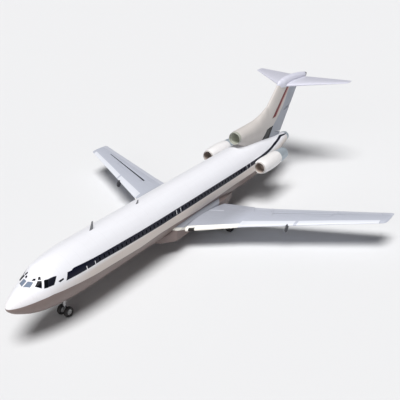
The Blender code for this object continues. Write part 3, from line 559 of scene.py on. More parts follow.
class Recipe:
    """A material under construction: its tree, its shader and its piece's coordinates."""

    def __init__(self, name: str) -> None:
        """Start a material with a Principled shader and the piece's own coordinates.

        Args:
            name: the material's name.
        """
        self.material = bpy.data.materials.new(name)
        self.material.use_nodes = True
        self.tree = self.material.node_tree
        self.shader = self.tree.nodes["Principled BSDF"]
        self.place = Signal(shade(self.tree, "ShaderNodeTexCoord"), "Object")
        axes = shade(self.tree, "ShaderNodeSeparateXYZ", {0: self.place})
        self.x, self.y, self.z = (Signal(axes, i) for i in range(3))

    def grain(self, size_mm: float, detail: float = 3.0, stretch: Point = (1.0, 1.0, 1.0)) -> Signal:
        """Return noise whose features measure about size_mm on the model, drawn out by stretch.

        Args:
            size_mm: the size of the features.
            detail: how many finer layers it has.
            stretch: scale along x, y and z; below one draws the features out.

        Returns:
            The noise, about nought to one.
        """
        scaled = Signal(shade(self.tree, "ShaderNodeMapping", {0: self.place, 3: stretch}))
        return Signal(shade(self.tree, "ShaderNodeTexNoise",
                            {"Vector": scaled, "Scale": 1000.0 / size_mm, "Detail": detail}))

    def curve(self, stations: Line) -> Signal:
        """Return a height in the model's metres that follows (s, z) stations of the full-size aircraft.

        Args:
            stations: the places that the curve goes through, from front to rear.

        Returns:
            The height at each place along the aircraft.
        """
        first, last = stations[0][0], stations[-1][0]
        low = min(z for _, z in stations)
        high = max(z for _, z in stations) + 1e-6
        along = self.y.spread(0.0, 1.0, at(0, first, 0).y, at(0, last, 0).y)
        node = shade(self.tree, "ShaderNodeFloatCurve", {1: along})
        points = node.mapping.curves[0].points
        for i, (s, z) in enumerate(stations):
            spot = ((s - first) / (last - first), (z - low) / (high - low))
            if 0 < i < len(stations) - 1:
                point = points.new(*spot)
            else:
                point = points[0 if i == 0 else len(points) - 1]
                point.location = spot
            point.handle_type = "VECTOR"
        node.mapping.update()
        return Signal(node).spread(low * SCALE, high * SCALE)

    def layered(self, base: Signal | str, *coats: tuple[Signal, str]) -> Signal:
        """Lay colours over a base, each through its own mask, in order.

        Args:
            base: the lowest colour.
            coats: a mask and a colour for each coat.

        Returns:
            The colour with all coats on it.
        """
        for mask, colour in coats:
            mix = shade(self.tree, "ShaderNodeMix", {0: mask, 6: base, 7: colour}, data_type="RGBA")
            base = Signal(mix, 2)
        return base

    def finish(self, colour: Signal | str, roughness: Signal | float,
               relief: tuple[Signal, float, float] | None = None, **levels: float) -> Finish:
        """Set the shader's inputs.

        Args:
            colour: the base colour.
            roughness: the roughness.
            relief: the height pattern of the surface, its depth in millimetres and its strength.
            levels: further inputs, such as coat_weight, by their names in small letters.

        Returns:
            The material.
        """
        feed(self.shader, {"Base Color": colour, "Roughness": roughness})
        inputs = {socket.name.lower().replace(" ", "_"): socket.name for socket in self.shader.inputs}
        feed(self.shader, {inputs[name]: level for name, level in levels.items()})
        if relief:
            height, depth_mm, strength = relief
            raised = {"Height": height, "Distance": depth_mm / 1000.0, "Strength": strength}
            feed(self.shader, {"Normal": Signal(shade(self.tree, "ShaderNodeBump", raised))})
        return self.material


@dataclass(frozen=True)
class Enamel:
    """Sprayed polyurethane enamel on skin panels: even colour, soft gloss, faint grime in streaks."""

    name: str
    colour: str
    grime: str = "8A8580"
    soiling: float = 0.10
    roughness: float = 0.32
    coat: float = 0.25
    grain_mm: float = 160.0

    def make(self) -> Finish:
        """Build the paint.

        Returns:
            The material.
        """
        recipe = Recipe(self.name)
        # Streaks drawn out along the airflow, about as wide as a skin panel.
        streaks = recipe.grain(self.grain_mm, 4.0, (1.0, 0.18, 1.0))
        speckle = recipe.grain(self.grain_mm / 9.0, 2.0)
        dirt = (streaks * speckle * (self.soiling * 4.0)).ramp(1.0)
        return recipe.finish(recipe.layered(self.colour, (dirt, self.grime)),
                             streaks.spread(self.roughness - 0.06, self.roughness + 0.08),
                             (recipe.grain(self.grain_mm * 2.5, 2.0), 0.5, 0.25),
                             coat_weight=self.coat, coat_roughness=0.12)


@dataclass(frozen=True)
class BareMetal:
    """Unpainted metal, rolled or spun: clouded gloss and, where hot, a heat stain."""

    name: str
    colour: str
    stain: str
    staining: float = 0.35
    roughness: float = 0.28
    grain_mm: float = 60.0
    metallic: float = 1.0

    def make(self) -> Finish:
        """Build the metal.

        Returns:
            The material.
        """
        recipe = Recipe(self.name)
        clouds = recipe.grain(self.grain_mm, 4.0)
        stained = (clouds * (self.staining * 1.6)).ramp(1.0)
        return recipe.finish(recipe.layered(self.colour, (stained, self.stain)),
                             clouds.spread(self.roughness - 0.08, self.roughness + 0.14),
                             metallic=self.metallic)


@dataclass(frozen=True)
class TyreRubber:
    """Vulcanised black rubber: matte, with a dusty grey bloom."""

    name: str = "vulcanised_rubber"
    colour: str = "17171A"
    dust: str = "4A4744"

    def make(self) -> Finish:
        """Build the rubber.

        Returns:
            The material.
        """
        recipe = Recipe(self.name)
        bloom = recipe.grain(35.0, 4.0)
        return recipe.finish(recipe.layered(self.colour, (bloom * 0.45, self.dust)), bloom.spread(0.62, 0.85),
                             (recipe.grain(4.0, 2.0), 0.3, 0.3))


@dataclass(frozen=True)
class Livery:
    """The body's paint scheme in gloss enamel: white crown, navy band, warm grey flank and taupe belly; the
    flank and the belly also hold painted shade.
    """

    name: str = "livery_polyurethane_enamel"
    white: str = "E6E7ED"
    navy: str = "090C20"
    # The flank's warm grey and the belly's taupe are paint, darkened further with painted shade.
    flank_and_shade: str = "D8CEC8"
    belly: str = "7F706C"
    banded: bool = True
    # Station and height along the navy band's edges and the belly's.
    band_top: Line = (
        (4.0, 4.57), (4.80, 4.54), (4.88, 4.63), (5.2, 4.63), (7.6, 4.53), (12.3, 4.41), (15.0, 4.38),
        (20.0, 4.36), (28.0, 4.34), (32.2, 4.37), (36.3, 4.43), (39.2, 4.31), (40.8, 4.10))
    band_foot: Line = (
        (4.0, 4.07), (7.4, 4.10), (9.7, 4.00), (12.1, 3.93), (14.8, 3.87), (19.2, 3.86), (24.2, 3.87),
        (27.9, 3.89), (32.0, 4.02), (36.05, 4.24), (39.2, 4.20), (40.8, 4.02))
    belly_top: Line = (
        (0.0, 3.40), (1.4, 3.44), (2.25, 3.48), (3.0, 3.52), (3.8, 3.46), (4.7, 3.42), (5.2, 3.38),
        (7.3, 3.24), (9.7, 3.14), (12.3, 3.02), (14.9, 3.13), (17.8, 3.06), (21.1, 2.90), (27.0, 3.14),
        (31.0, 3.16), (36.0, 3.22), (40.8, 3.42))
    # The band's slanted front edge, from its foot to its top.
    band_front: Line = ((4.04, 4.04), (4.38, 4.56))
    # Stations between which the flank's warm grey, partly painted shade, strengthens behind the nearly white
    # nose.
    warming: tuple[float, float] = (2.6, 6.5)
    flank_and_shade_top: float = 4.15
    seam_pitch_mm: float = 508.0
    grime: str = "8E8883"

    def make(self) -> Finish:
        """Build the paint scheme.

        Returns:
            The material.
        """
        recipe = Recipe(self.name)
        foot, head = (at(0, *corner) for corner in self.band_front)
        slope = (head.y - foot.y) / (head.z - foot.z)
        front = recipe.y - (recipe.z * slope + (foot.y - slope * foot.z))
        band = recipe.z.band(recipe.curve(self.band_foot), recipe.curve(self.band_top)) * front.ramp(0.0008)
        # Below this line lies the taupe paint, darkened with painted shade.
        low = (recipe.curve(self.belly_top) - recipe.z).ramp(0.004)
        start, end = (at(0, s, 0).y for s in self.warming)
        # The warm grey, paint with painted shade of the lower side, starts just below the band and is weaker on
        # the nose.
        flank_and_shade = (self.flank_and_shade_top * SCALE - recipe.z).ramp(0.20) * recipe.y.spread(0.25, 1.0, start, end)
        streaks = recipe.grain(180.0, 4.0, (1.0, 0.15, 1.0))
        dirt = (streaks * recipe.grain(22.0) * 0.28).ramp(1.0)
        laps = recipe.y.seams(self.seam_pitch_mm, 9.0)
        dirt = (dirt * 0.6 + laps * 0.10).ramp(1.0)
        coats = [(flank_and_shade, self.flank_and_shade), (low, self.belly), (dirt, self.grime)]
        if self.banded:
            coats.append((band, self.navy))
        return recipe.finish(recipe.layered(self.white, *coats), streaks.spread(0.26, 0.42),
                             (recipe.grain(420.0, 2.0), 0.5, 0.2), specular_ior_level=0.28)


@dataclass(frozen=True)
class WingEnamel:
    """The wings' grey corrosion enamel, with pale slats, a cream root edge, painted shade ahead of the flaps
    and darker seams.
    """

    name: str = "wing_corrosion_enamel"
    grey: str = "B6BAC6"
    inner: str = "A1A4AE"
    pale: str = "C9CCD6"
    slat: str = "D4D7DF"
    cream: str = "F1EFE8"
    # Dark colour of the painted shade ahead of the flaps.
    painted_cove_shade: str = "2C2F36"
    lamp: str = "1D1A18"
    # Span and station of the edges and of the painted lines, full-size metres.
    lead: Line = ((1.88, 18.35), (5.50, 20.95), (5.80, 21.20), (16.20, 27.42))
    trail: Line = ((1.88, 24.98), (5.50, 25.58), (5.80, 25.70), (16.20, 29.82))
    strip: Line = ((5.55, 21.84), (7.06, 22.68), (9.78, 24.16), (12.23, 25.60),
                                              (14.36, 26.80), (15.85, 27.64))
    slot: Line = ((7.05, 24.56), (12.36, 27.14), (14.24, 28.06))
    root: Line = ((1.15, 21.90), (3.08, 22.89))
    # Spans of the slats, the gap between them, the inner panels, the painted shade ahead of the flaps, the
    # root's line and the lamp.
    slat_span: tuple[float, float] = (5.56, 15.90)
    gap_span: tuple[float, float] = (9.62, 9.86)
    inner_end: float = 5.40
    painted_cove_shade_span: tuple[float, float] = (7.05, 14.24)
    root_end: float = 3.08
    lamp_span: tuple[float, float] = (2.08, 2.52)
    rib_pitch_mm: float = 310.0
    spar_pitch_mm: float = 390.0
    grime: str = "6E7078"

    def make(self) -> Finish:
        """Build the paint.

        Returns:
            The material.
        """
        recipe = Recipe(self.name)
        span = recipe.x.through("ShaderNodeMath", operation="ABSOLUTE")
        to_lead, to_trail, to_strip, to_slot, to_root = (
            span.along(line) - recipe.y for line in (self.lead, self.trail, self.strip, self.slot, self.root))
        from_lead = to_lead * -1.0
        # The cream wraps farther back over the port wing's root.
        wrap = (recipe.x > 0.0) * 0.15 + 0.04
        nose = from_lead.band(-1.0, wrap, 0.004) * span.within((0.0, self.slat_span[0]), 0.002)
        slats = to_strip.band(0.0, 3.0, 0.012) * span.within(self.slat_span, 0.002)
        gap = slats * span.within(self.gap_span, 0.004)
        rear = to_trail < 0.30
        # Painted shade of the gap ahead of the flap: a dark line that narrows outboard and is wider on the
        # starboard wing.
        reach = (span * -0.019 + 0.190) * ((recipe.x < 0.0) * 0.75 + 0.25)
        slot = to_slot.band(-0.001, reach, 0.006) * span.within(self.painted_cove_shade_span, 0.01)
        root = to_root.band(-0.03, 0.03, 0.004) * span.within((0.0, self.root_end))
        lamp = from_lead.band(-1.0, 0.075, 0.002) * span.within(self.lamp_span, 0.002)
        # The panels near the root are a shade darker.
        inner = (self.inner_end * SCALE - span).ramp(0.7)
        streaks = recipe.grain(150.0, 4.0, (0.2, 1.0, 1.0))
        ribs, spars = span.seams(self.rib_pitch_mm, 5.0), from_lead.seams(self.spar_pitch_mm, 5.0)
        dirt = (streaks * 0.12 + (ribs + spars).ramp(1.0) * 0.14).ramp(1.0)
        colour = recipe.layered(self.grey, (rear * 0.6, self.pale), (inner, self.inner), (dirt, self.grime),
                                (nose, self.cream), (slats, self.slat), (gap, self.grey), (slot, self.painted_cove_shade),
                                (root, self.slat), (lamp, self.lamp))
        return recipe.finish(colour, streaks.spread(0.36, 0.52), specular_ior_level=0.25)


@dataclass(frozen=True)
class FairingEnamel:
    """The wing root fairing's enamel: wing grey above a line, taupe below, cream along the line in front."""

    name: str = "fairing_corrosion_enamel"
    grey: str = "A1A4AE"
    # The taupe is paint, darkened with painted shade.
    belly: str = "7C6E6B"
    cream: str = "F1EFE8"
    # Station and height of the line between the grey and the taupe.
    line: Line = ((15.10, 2.06), (16.40, 2.66), (17.20, 2.40), (18.35, 2.02),
                                             (21.00, 1.90), (23.60, 1.92), (24.70, 2.95), (28.60, 2.95))
    cream_width: float = 0.24
    cream_end: float = 18.60
    grime: str = "6E6A6A"

    def make(self) -> Finish:
        """Build the paint.

        Returns:
            The material.
        """
        recipe = Recipe(self.name)
        above = recipe.z - recipe.curve(self.line)
        edge = above.within((0.0, self.cream_width)) * (recipe.y < at(0, self.cream_end, 0).y)
        streaks = recipe.grain(150.0, 4.0, (1.0, 0.2, 1.0))
        dirt = (streaks * recipe.grain(20.0).spread(0.0, 0.5)).ramp(1.0)
        colour = recipe.layered(self.belly, (above.ramp(0.004), self.grey), (edge, self.cream),
                                (dirt, self.grime))
        return recipe.finish(colour, streaks.spread(0.36, 0.52), specular_ior_level=0.25)


@dataclass(frozen=True)
class FinEnamel:
    """The fin's paint: white front given as the darker warm grey of painted shade, blue-grey rear, a dark red
    stripe between and a navy foot.
    """

    name: str = "fin_polyurethane_enamel"
    # The white front is painted as if in shade: a darker warm grey.
    white: str = "C8C3C0"
    rear: str = "A2A7B2"
    red: str = "6A1519"
    rose: str = "B98683"
    navy: str = "05060C"
    duct: str = "CFD1C6"
    # Height and station of the line behind the stripe.
    division: Line = ((4.90, 36.60), (5.88, 37.73), (6.64, 38.95), (7.49, 40.05),
                                                 (8.91, 41.20), (9.80, 41.90))
    # Height and station of the stripe's middle.
    stripe: Line = ((4.90, 35.60), (6.95, 38.00), (9.25, 40.68), (9.90, 41.42))
    stripe_foot: float = 6.70
    # The navy foot's corners in station and height, from its low front round.
    foot: Line = ((34.70, 5.00), (37.00, 5.00), (37.70, 5.85), (36.10, 5.85))
    intake_height: float = 6.55
    intake_radius: float = 0.61
    intake_end: float = 32.5
    seam_pitch_mm: float = 380.0
    grime: str = "8A8784"

    def make(self) -> Finish:
        """Build the paint.

        Returns:
            The material.
        """
        recipe = Recipe(self.name)
        rear = (recipe.y - recipe.z.along(self.division)).ramp(0.0010)
        streaks = recipe.grain(160.0, 4.0, (1.0, 0.25, 1.0))
        dirt = (streaks * 0.08 + recipe.z.seams(self.seam_pitch_mm, 6.0) * 0.08).ramp(1.0)
        striped = recipe.z.band(self.stripe_foot * SCALE, 20.0)
        past = recipe.y - recipe.z.along(self.stripe)
        rose = past.band(0.0, 0.60 * SCALE, 0.05) * striped
        # The stripe narrows upwards, from about 0.7 m to 0.5 m.
        half = recipe.z * -0.045 + 0.335
        red = past.band(half * -1.0, half) * striped
        (s0, z0), (s1, _), (s2, z2), (s3, _) = self.foot
        run = (recipe.z - z0 * SCALE) / ((z2 - z0) * SCALE)
        front, back = (run * ((head - base) * SCALE) + at(0, base, 0).y
                       for base, head in ((s0, s3), (s1, s2)))
        foot = recipe.y.band(front, back) * recipe.z.within((0.0, z2))
        # Inside the centre intake the paint is a dull green-grey.
        rise = recipe.z - self.intake_height * SCALE
        radius = (rise * rise + recipe.x * recipe.x).through("ShaderNodeMath", operation="SQRT")
        duct = (radius < self.intake_radius * SCALE) * (recipe.y < at(0, self.intake_end, 0).y)
        colour = recipe.layered(self.white, (rear, self.rear), (dirt, self.grime), (rose, self.rose),
                                (red, self.red), (foot, self.navy), (duct, self.duct))
        return recipe.finish(colour, streaks.spread(0.34, 0.50), specular_ior_level=0.18)


@dataclass(frozen=True)
class BulletEnamel:
    """The tailplane fairing's pale enamel, with a dark grey rear end."""

    name: str = "bullet_polyurethane_enamel"
    pale: str = "D5D6E4"
    dark: str = "4A4B50"
    dark_start: float = 45.55
    grime: str = "8A8784"

    def make(self) -> Finish:
        """Build the paint.

        Returns:
            The material.
        """
        recipe = Recipe(self.name)
        streaks = recipe.grain(120.0, 4.0, (1.0, 0.2, 1.0))
        rear = (recipe.y - at(0, self.dark_start, 0).y).ramp(0.02)
        colour = recipe.layered(self.pale, (streaks * 0.12, self.grime), (rear, self.dark))
        return recipe.finish(colour, streaks.spread(0.34, 0.48), specular_ior_level=0.3)


@dataclass(frozen=True)
class PaneGlass:
    """Laminated window glass seen from outside, with a thin film of dust."""

    name: str
    colour: str
    roughness: float = 0.06
    film: str = "5C6670"
    gloss: float = 0.8

    def make(self) -> Finish:
        """Build the glass.

        Returns:
            The material.
        """
        recipe = Recipe(self.name)
        dust = recipe.grain(45.0, 2.0)
        return recipe.finish(recipe.layered(self.colour, (dust * 0.25, self.film)),
                             dust.spread(self.roughness, self.roughness + 0.10), coat_weight=self.gloss,
                             specular_ior_level=0.5 * self.gloss)


# Stage


@dataclass
class Studio:
    """The pale floor, the soft lights and the camera at the photo's viewing angle."""

    eye: Point = (31.22, -25.13, 28.39)
    look: Point = (0.0, 23.69, 2.345)
    lens_mm: float = 61.3
    floor_colour: str = "DBDCDE"
    sky_colour: str = "F4F6FA"
    lamp_colour: Point = (1.0, 0.99, 0.98)
    # The surround lights the model only dimly, and looks pale beyond the floor's edge.
    sky_light: float = 0.07
    sky_shown: float = 0.86
    # Name, strength, spread in degrees and direction. The softbox above casts the shadows; the weak fill
    # ahead reaches the intakes and leading edges.
    lamps: tuple[tuple[str, float, float, Point], ...] = (
        ("softbox", 3.75, 31.0, (-0.14, 0.37, -1.0)),
        ("front_fill", 1.05, 40.0, (-0.20, 1.0, -0.20)),
    )

    def camera(self) -> None:
        """Place the camera."""
        data = bpy.data.cameras.new("view")
        data.lens = self.lens_mm
        data.sensor_width = 36.0
        data.clip_end = 500.0
        camera = bpy.data.objects.new("view", data)
        bpy.context.scene.collection.objects.link(camera)
        camera.location = at(*self.eye)
        camera.rotation_euler = (at(*self.look) - at(*self.eye)).to_track_quat("-Z", "Y").to_euler()
        bpy.context.scene.camera = camera

    def floor(self) -> None:
        """Lay a plain floor far beyond the view."""
        deselect()
        bpy.ops.mesh.primitive_plane_add(size=600.0, location=(0.0, 0.0, 0.0))
        floor = named("floor")
        recipe = Recipe("matte_backdrop_paper")
        floor.data.materials.append(recipe.finish(self.floor_colour, 0.95, specular_ior_level=0.0))

    def lights(self) -> None:
        """Hang the lamps and the pale surround."""
        world = bpy.data.worlds.new("soft_surround")
        world.use_nodes = True
        seen = Signal(shade(world.node_tree, "ShaderNodeLightPath"), "Is Camera Ray")
        feed(world.node_tree.nodes["Background"],
             {0: self.sky_colour, 1: seen.spread(self.sky_light, self.sky_shown)})
        bpy.context.scene.world = world
        for name, energy, spread, aim in self.lamps:
            sun = bpy.data.lights.new(name, "SUN")
            sun.energy = energy
            sun.angle = math.radians(spread)
            sun.color = self.lamp_colour
            lamp = bpy.data.objects.new(name, sun)
            bpy.context.scene.collection.objects.link(lamp)
            lamp.rotation_euler = Vector(aim).to_track_quat("-Z", "Y").to_euler()

    def build(self) -> None:
        """Set the whole stage."""
        self.camera()
        self.floor()
        self.lights()
        bpy.context.scene.view_settings.view_transform = "Standard"


class Paints:
    """Every finish of the aircraft, made once."""

    def __init__(self) -> None:
        """Build the finishes."""
        self.white = Enamel("white_polyurethane_enamel", "F5F5F7").make()
        # The belly grey is paint, darkened with painted shade.
        self.belly_grey = Enamel("belly_grey_enamel", "857A77", soiling=0.16, roughness=0.42).make()
        self.gear = Enamel("gear_grey_enamel", "C9CACC", soiling=0.25, roughness=0.4, grain_mm=40.0).make()
        self.bright = BareMetal("polished_aluminium", "D9DADD", "B8B9BC").make()
        self.hot = BareMetal("heat_dulled_steel", "B9C5CE", "8A9096", roughness=0.46, metallic=0.45).make()
        self.rubber = TyreRubber().make()
        self.livery = Livery().make()
        self.wing = WingEnamel().make()
        self.fin = FinEnamel().make()
        self.fairing = FairingEnamel().make()
        self.bullet = BulletEnamel().make()
        self.plain_livery = Livery("door_edge_polyurethane_enamel", banded=False).make()
        self.navy = Enamel("navy_polyurethane_enamel", "0B0D1A", "2A2C38", 0.05, coat=0.12).make()
        self.window_rim = Enamel("window_rim_anodising", "14172A", "2A2C38", 0.05, coat=0.0).make()
        self.cowl = Enamel("cowl_polyurethane_enamel", "F1F0F1", soiling=0.14).make()
        self.duct = Enamel("intake_duct_enamel", "C9BAB1", "3C3633", 0.2, 0.5, 0.0, 60.0).make()
        self.fan = Enamel("fan_blade_satin_enamel", "CBBDB5", "5E5650", 0.2, 0.45, 0.0, 40.0).make()
        self.lip = Enamel("lip_satin_enamel", "BDB9B6", "7E7A77", 0.1, 0.35, 0.1, 60.0).make()
        self.center_lip = Enamel("center_lip_satin_enamel", "A5A79E", "6A6C64", 0.1, 0.35, 0.1, 60.0).make()
        self.antenna = Enamel("antenna_epoxy_enamel", "7E7F83", "55565A", 0.15, 0.45).make()
        self.fence = Enamel("fence_epoxy_enamel", "3F4046", "2A2B2E", 0.1, 0.5, coat=0.0).make()
        self.dark_glass = PaneGlass("laminated_dark_glass", "0A0C10", 0.14, "1A1D24", 0.04).make()
        self.cabin_glass = PaneGlass("cabin_window_acrylic", "0A0C14", 0.25, "161A24", 0.05).make()
        self.lens = PaneGlass("clear_lamp_lens", "C9CCD2").make()
        self.front_glass = PaneGlass("tinted_windscreen_glass", "7C889C").make()
        self.lavender = Enamel("tailplane_pale_enamel", "D5D6E4", soiling=0.10, roughness=0.38).make()

    def for_slot(self, slot: str) -> Finish:
        """Return the finish of a packed slot.

        Args:
            slot: the slot's name in the record.

        Returns:
            The material.
        """
        return {"white_paint": self.white, "wing_grey": self.wing, "belly_grey": self.belly_grey,
                "bare_metal": self.bright, "exhaust_metal": self.hot, "gear_paint": self.gear,
                "tyre_rubber": self.rubber}[slot]


# Sub-assemblies


@dataclass
class BodyShell:
    """The fuselage skin and the radome, with the nose bay, stair well and engine bore cut in."""

    # Station, half width, crown, height of the widest point, keel.
    stations: tuple[tuple[float, ...], ...] = (
        (0.10, 0.25, 3.62, 3.38, 3.12),
        (0.35, 0.47, 3.83, 3.40, 2.88),
        (0.80, 0.73, 4.04, 3.42, 2.61),
        (1.55, 1.05, 4.33, 3.46, 2.26),
        (1.90, 1.17, 4.47, 3.48, 2.13),
        (2.45, 1.35, 4.73, 3.52, 1.97),
        (2.90, 1.46, 4.99, 3.56, 1.88),
        (3.35, 1.56, 5.25, 3.59, 1.80),
        (4.20, 1.69, 5.44, 3.65, 1.70),
        (5.50, 1.82, 5.56, 3.70, 1.62),
        (7.00, 1.88, 5.60, 3.72, 1.59),
        (18.0, 1.88, 5.60, 3.72, 1.59),
        (30.0, 1.88, 5.60, 3.72, 1.59),
        (32.0, 1.86, 5.51, 3.72, 1.70),
        (34.0, 1.76, 5.24, 3.73, 1.98),
        (36.0, 1.54, 4.88, 3.73, 2.32),
        (38.0, 1.20, 4.52, 3.70, 2.66),
        (39.5, 0.88, 4.31, 3.66, 2.88),
        (40.8, 0.60, 4.18, 3.62, 3.02),
    )
    sides: int = 112
    tip_height: float = 3.37
    radome_end: float = 1.55
    seam: float = 0.006
    end: float = 40.79
    nozzle_height: float = 3.62
    stair_end: float = 37.80
    stair_half_width: float = 0.42
    # Station and height of the stair's hinge, and the round room about it.
    hinge: tuple[float, float] = (34.73, 2.2467)
    hinge_radius: float = 0.18
    well_top: float = 3.05
    # Clear space beside the stair.
    gap: float = 0.012
    nose_bay: tuple[Point, Point] = ((-0.30, 4.90, 1.0), (0.30, 5.80, 2.35))
    bore_start: float = 37.4
    bore_radius: float = 0.50
    # Half width and height of the cabin's widest line, and the drop to its round keel.
    cabin_half: float = 1.88
    cabin_middle: float = 3.72
    cabin_drop: float = 2.13

    def row(self, s: float) -> tuple[float, float, float, float]:
        """Return half width, crown, middle and keel at a station.

        Args:
            s: the station along the body, full-size metres.

        Returns:
            The half width and the three heights, full-size metres.
        """
        first = self.stations[0]
        if s >= first[0]:
            _, width, crown, middle, keel = eased(self.stations, s)
            return width, crown, middle, keel
        part = s / first[0]
        round_part = math.sqrt(part)
        middle = self.tip_height + (first[3] - self.tip_height) * part
        return (first[1] * round_part, middle + (first[2] - first[3]) * round_part, middle,
                middle - (first[3] - first[4]) * round_part)

    def point(self, s: float, angle: float, lift: float = 0.0) -> Vector:
        """Return the model's place on the skin at a station and an angle from the port horizontal.

        Args:
            s: the station along the body, full-size metres.
            angle: the angle in radians.
            lift: the height over the skin, full-size metres.

        Returns:
            The place, in the model's coordinates.
        """
        width, crown, middle, keel = self.row(s)
        rise = crown - middle if math.sin(angle) > 0.0 else middle - keel
        return at((width + lift) * math.cos(angle), s, middle + (rise + lift) * math.sin(angle))

    def angle(self, x: float, s: float, z: float) -> float:
        """Return the angle round the body of a place on or near the skin.

        Args:
            x: the place's distance to port, full-size metres.
            s: the station along the body, full-size metres.
            z: its height, full-size metres.

        Returns:
            The angle from the port horizontal, in radians.
        """
        width, crown, middle, keel = self.row(s)
        rise = crown - middle if z > middle else middle - keel
        return math.atan2((z - middle) / rise, x / width)

    def ring(self, s: float) -> list[Vector]:
        """Return one section of the skin."""
        return [self.point(s, 2.0 * math.pi * i / self.sides) for i in range(self.sides)]

    def upright(self, front: float, rear: float, sill: float, head: float) -> list[Point]:
        """Return an upright rectangle's corners on the cabin's port skin, from its low front one round."""
        places = ((front, sill), (rear, sill), (rear, head), (front, head))
        return [(self.cabin_width(z), s, z) for s, z in places]

    def cabin_width(self, z: float) -> float:
        """Return the cabin's half width at a height."""
        rise = self.cabin_half if z > self.cabin_middle else self.cabin_drop
        return self.cabin_half * math.sqrt(1.0 - ((z - self.cabin_middle) / rise)**2)

    def build(self, livery: Finish) -> None:
        """Build both pieces and cut the openings.

        Args:
            livery: the finish of both.
        """
        nose = [0.006, 0.03, 0.07, 0.13, 0.22] + spaced(0.35, self.radome_end - self.seam, 9)
        radome = extruded("radome_skin", [self.ring(s) for s in nose], at(0.0, 0.0, self.tip_height))
        # The rings lie closer where the windscreen kinks the skin.
        places = (spaced(self.radome_end, 3.60, 52) + spaced(3.60, 7.0, 24)[1:] + spaced(7.0, 30.0, 12)[1:]
                  + spaced(30.0, self.end, 28)[1:])
        body = extruded("fuselage_skin", [self.ring(s) for s in places])
        bore = ((0.0, 0.0), (0.0, self.bore_radius), (4.5, self.bore_radius), (4.5, 0.0))
        cut(body, block("nose_bay", *self.nose_bay))
        cut(body, self.stair_well(self.stair_half_width + self.gap))
        cut(body, lathe("engine_bore", bore, (0.0, self.bore_start, self.nozzle_height), AFT, 64))
        for piece, node in ((radome, "radome"), (body, "fuselage")):
            present(smooth(piece, 30.0), "airframe", livery, node)

    def stair_well(self, edge: float) -> Piece:
        """Return the room that the rear stair swings in, as wide as edge on each side.

        Args:
            edge: the half width, full-size metres.

        Returns:
            The room as a solid.
        """
        (hinge_s, hinge_z), reach = self.hinge, self.hinge_radius
        rear = self.stair_end + 2.0 * self.gap
        outline = [(rear, 1.0), (rear, self.well_top), (hinge_s - reach, self.well_top)]
        for degrees in (180, 205, 230, 248):
            turn = math.radians(degrees)
            outline.append((hinge_s + reach * math.cos(turn), hinge_z + reach * math.sin(turn)))
        outline.append((outline[-1][0], 1.0))
        return extruded("stair_well", [[at(x, s, z) for s, z in outline] for x in (-edge, edge)])


@dataclass
class SkinPatch:
    """A thin plate that lies on the body's skin between four corners."""

    name: str
    corners: Sequence[Point]
    # Width of the rim and radius of the corners.
    rim: float
    radius: float
    lift: float
    columns: int
    rows: int
    hollow: bool = False

    def build(self, body: BodyShell, materials: Sequence[Finish]) -> Piece:
        """Draw the port plate flat, inset its rim and lay it on the skin.

        Args:
            body: the shell that carries it.
            materials: the rim's finish and the field's.

        Returns:
            The plate, not yet riding on a body.
        """
        a, b, c, d = (Vector(corner) for corner in self.corners)
        width = ((b - a).length + (c - d).length) / 2.0
        height = ((d - a).length + (c - b).length) / 2.0
        deselect()
        bpy.ops.mesh.primitive_grid_add(x_subdivisions=self.columns, y_subdivisions=self.rows, size=1.0,
                                        enter_editmode=True)
        plate = named(f"{self.name}_left")
        for material in materials:
            plate.data.materials.append(material)
        bpy.ops.transform.resize(value=(width, height, 1.0))
        bpy.ops.mesh.select_all(action="DESELECT")
        mesh = bmesh.from_edit_mesh(plate.data)
        for vert in mesh.verts:
            # Only the four corners lie this far out both ways.
            vert.select = abs(vert.co.x) > width * 0.499 and abs(vert.co.y) > height * 0.499
        bmesh.update_edit_mesh(plate.data)
        bpy.ops.mesh.bevel(affect="VERTICES", offset=self.radius, segments=3)
        bpy.ops.mesh.select_all(action="SELECT")
        bpy.ops.mesh.inset(thickness=self.rim)
        plate.active_material_index = 1
        if self.hollow:
            bpy.ops.mesh.delete(type="FACE")
        else:
            bpy.ops.object.material_slot_assign()
        bpy.ops.object.mode_set(mode="OBJECT")
        spots = [(corner[1], body.angle(*corner)) for corner in self.corners]
        for vert in plate.data.vertices:
            u, v = vert.co.x / width + 0.5, vert.co.y / height + 0.5
            s, angle = (spots[0][k] * (1 - u) * (1 - v) + spots[1][k] * u * (1 - v) + spots[2][k] * u * v
                        + spots[3][k] * (1 - u) * v for k in (0, 1))
            vert.co = body.point(s, angle, self.lift)
        face_outwards(plate)
        modify(plate, "SOLIDIFY", thickness=self.lift * SCALE * 1.6, offset=-1.0)
        return smooth(plate, 40.0)


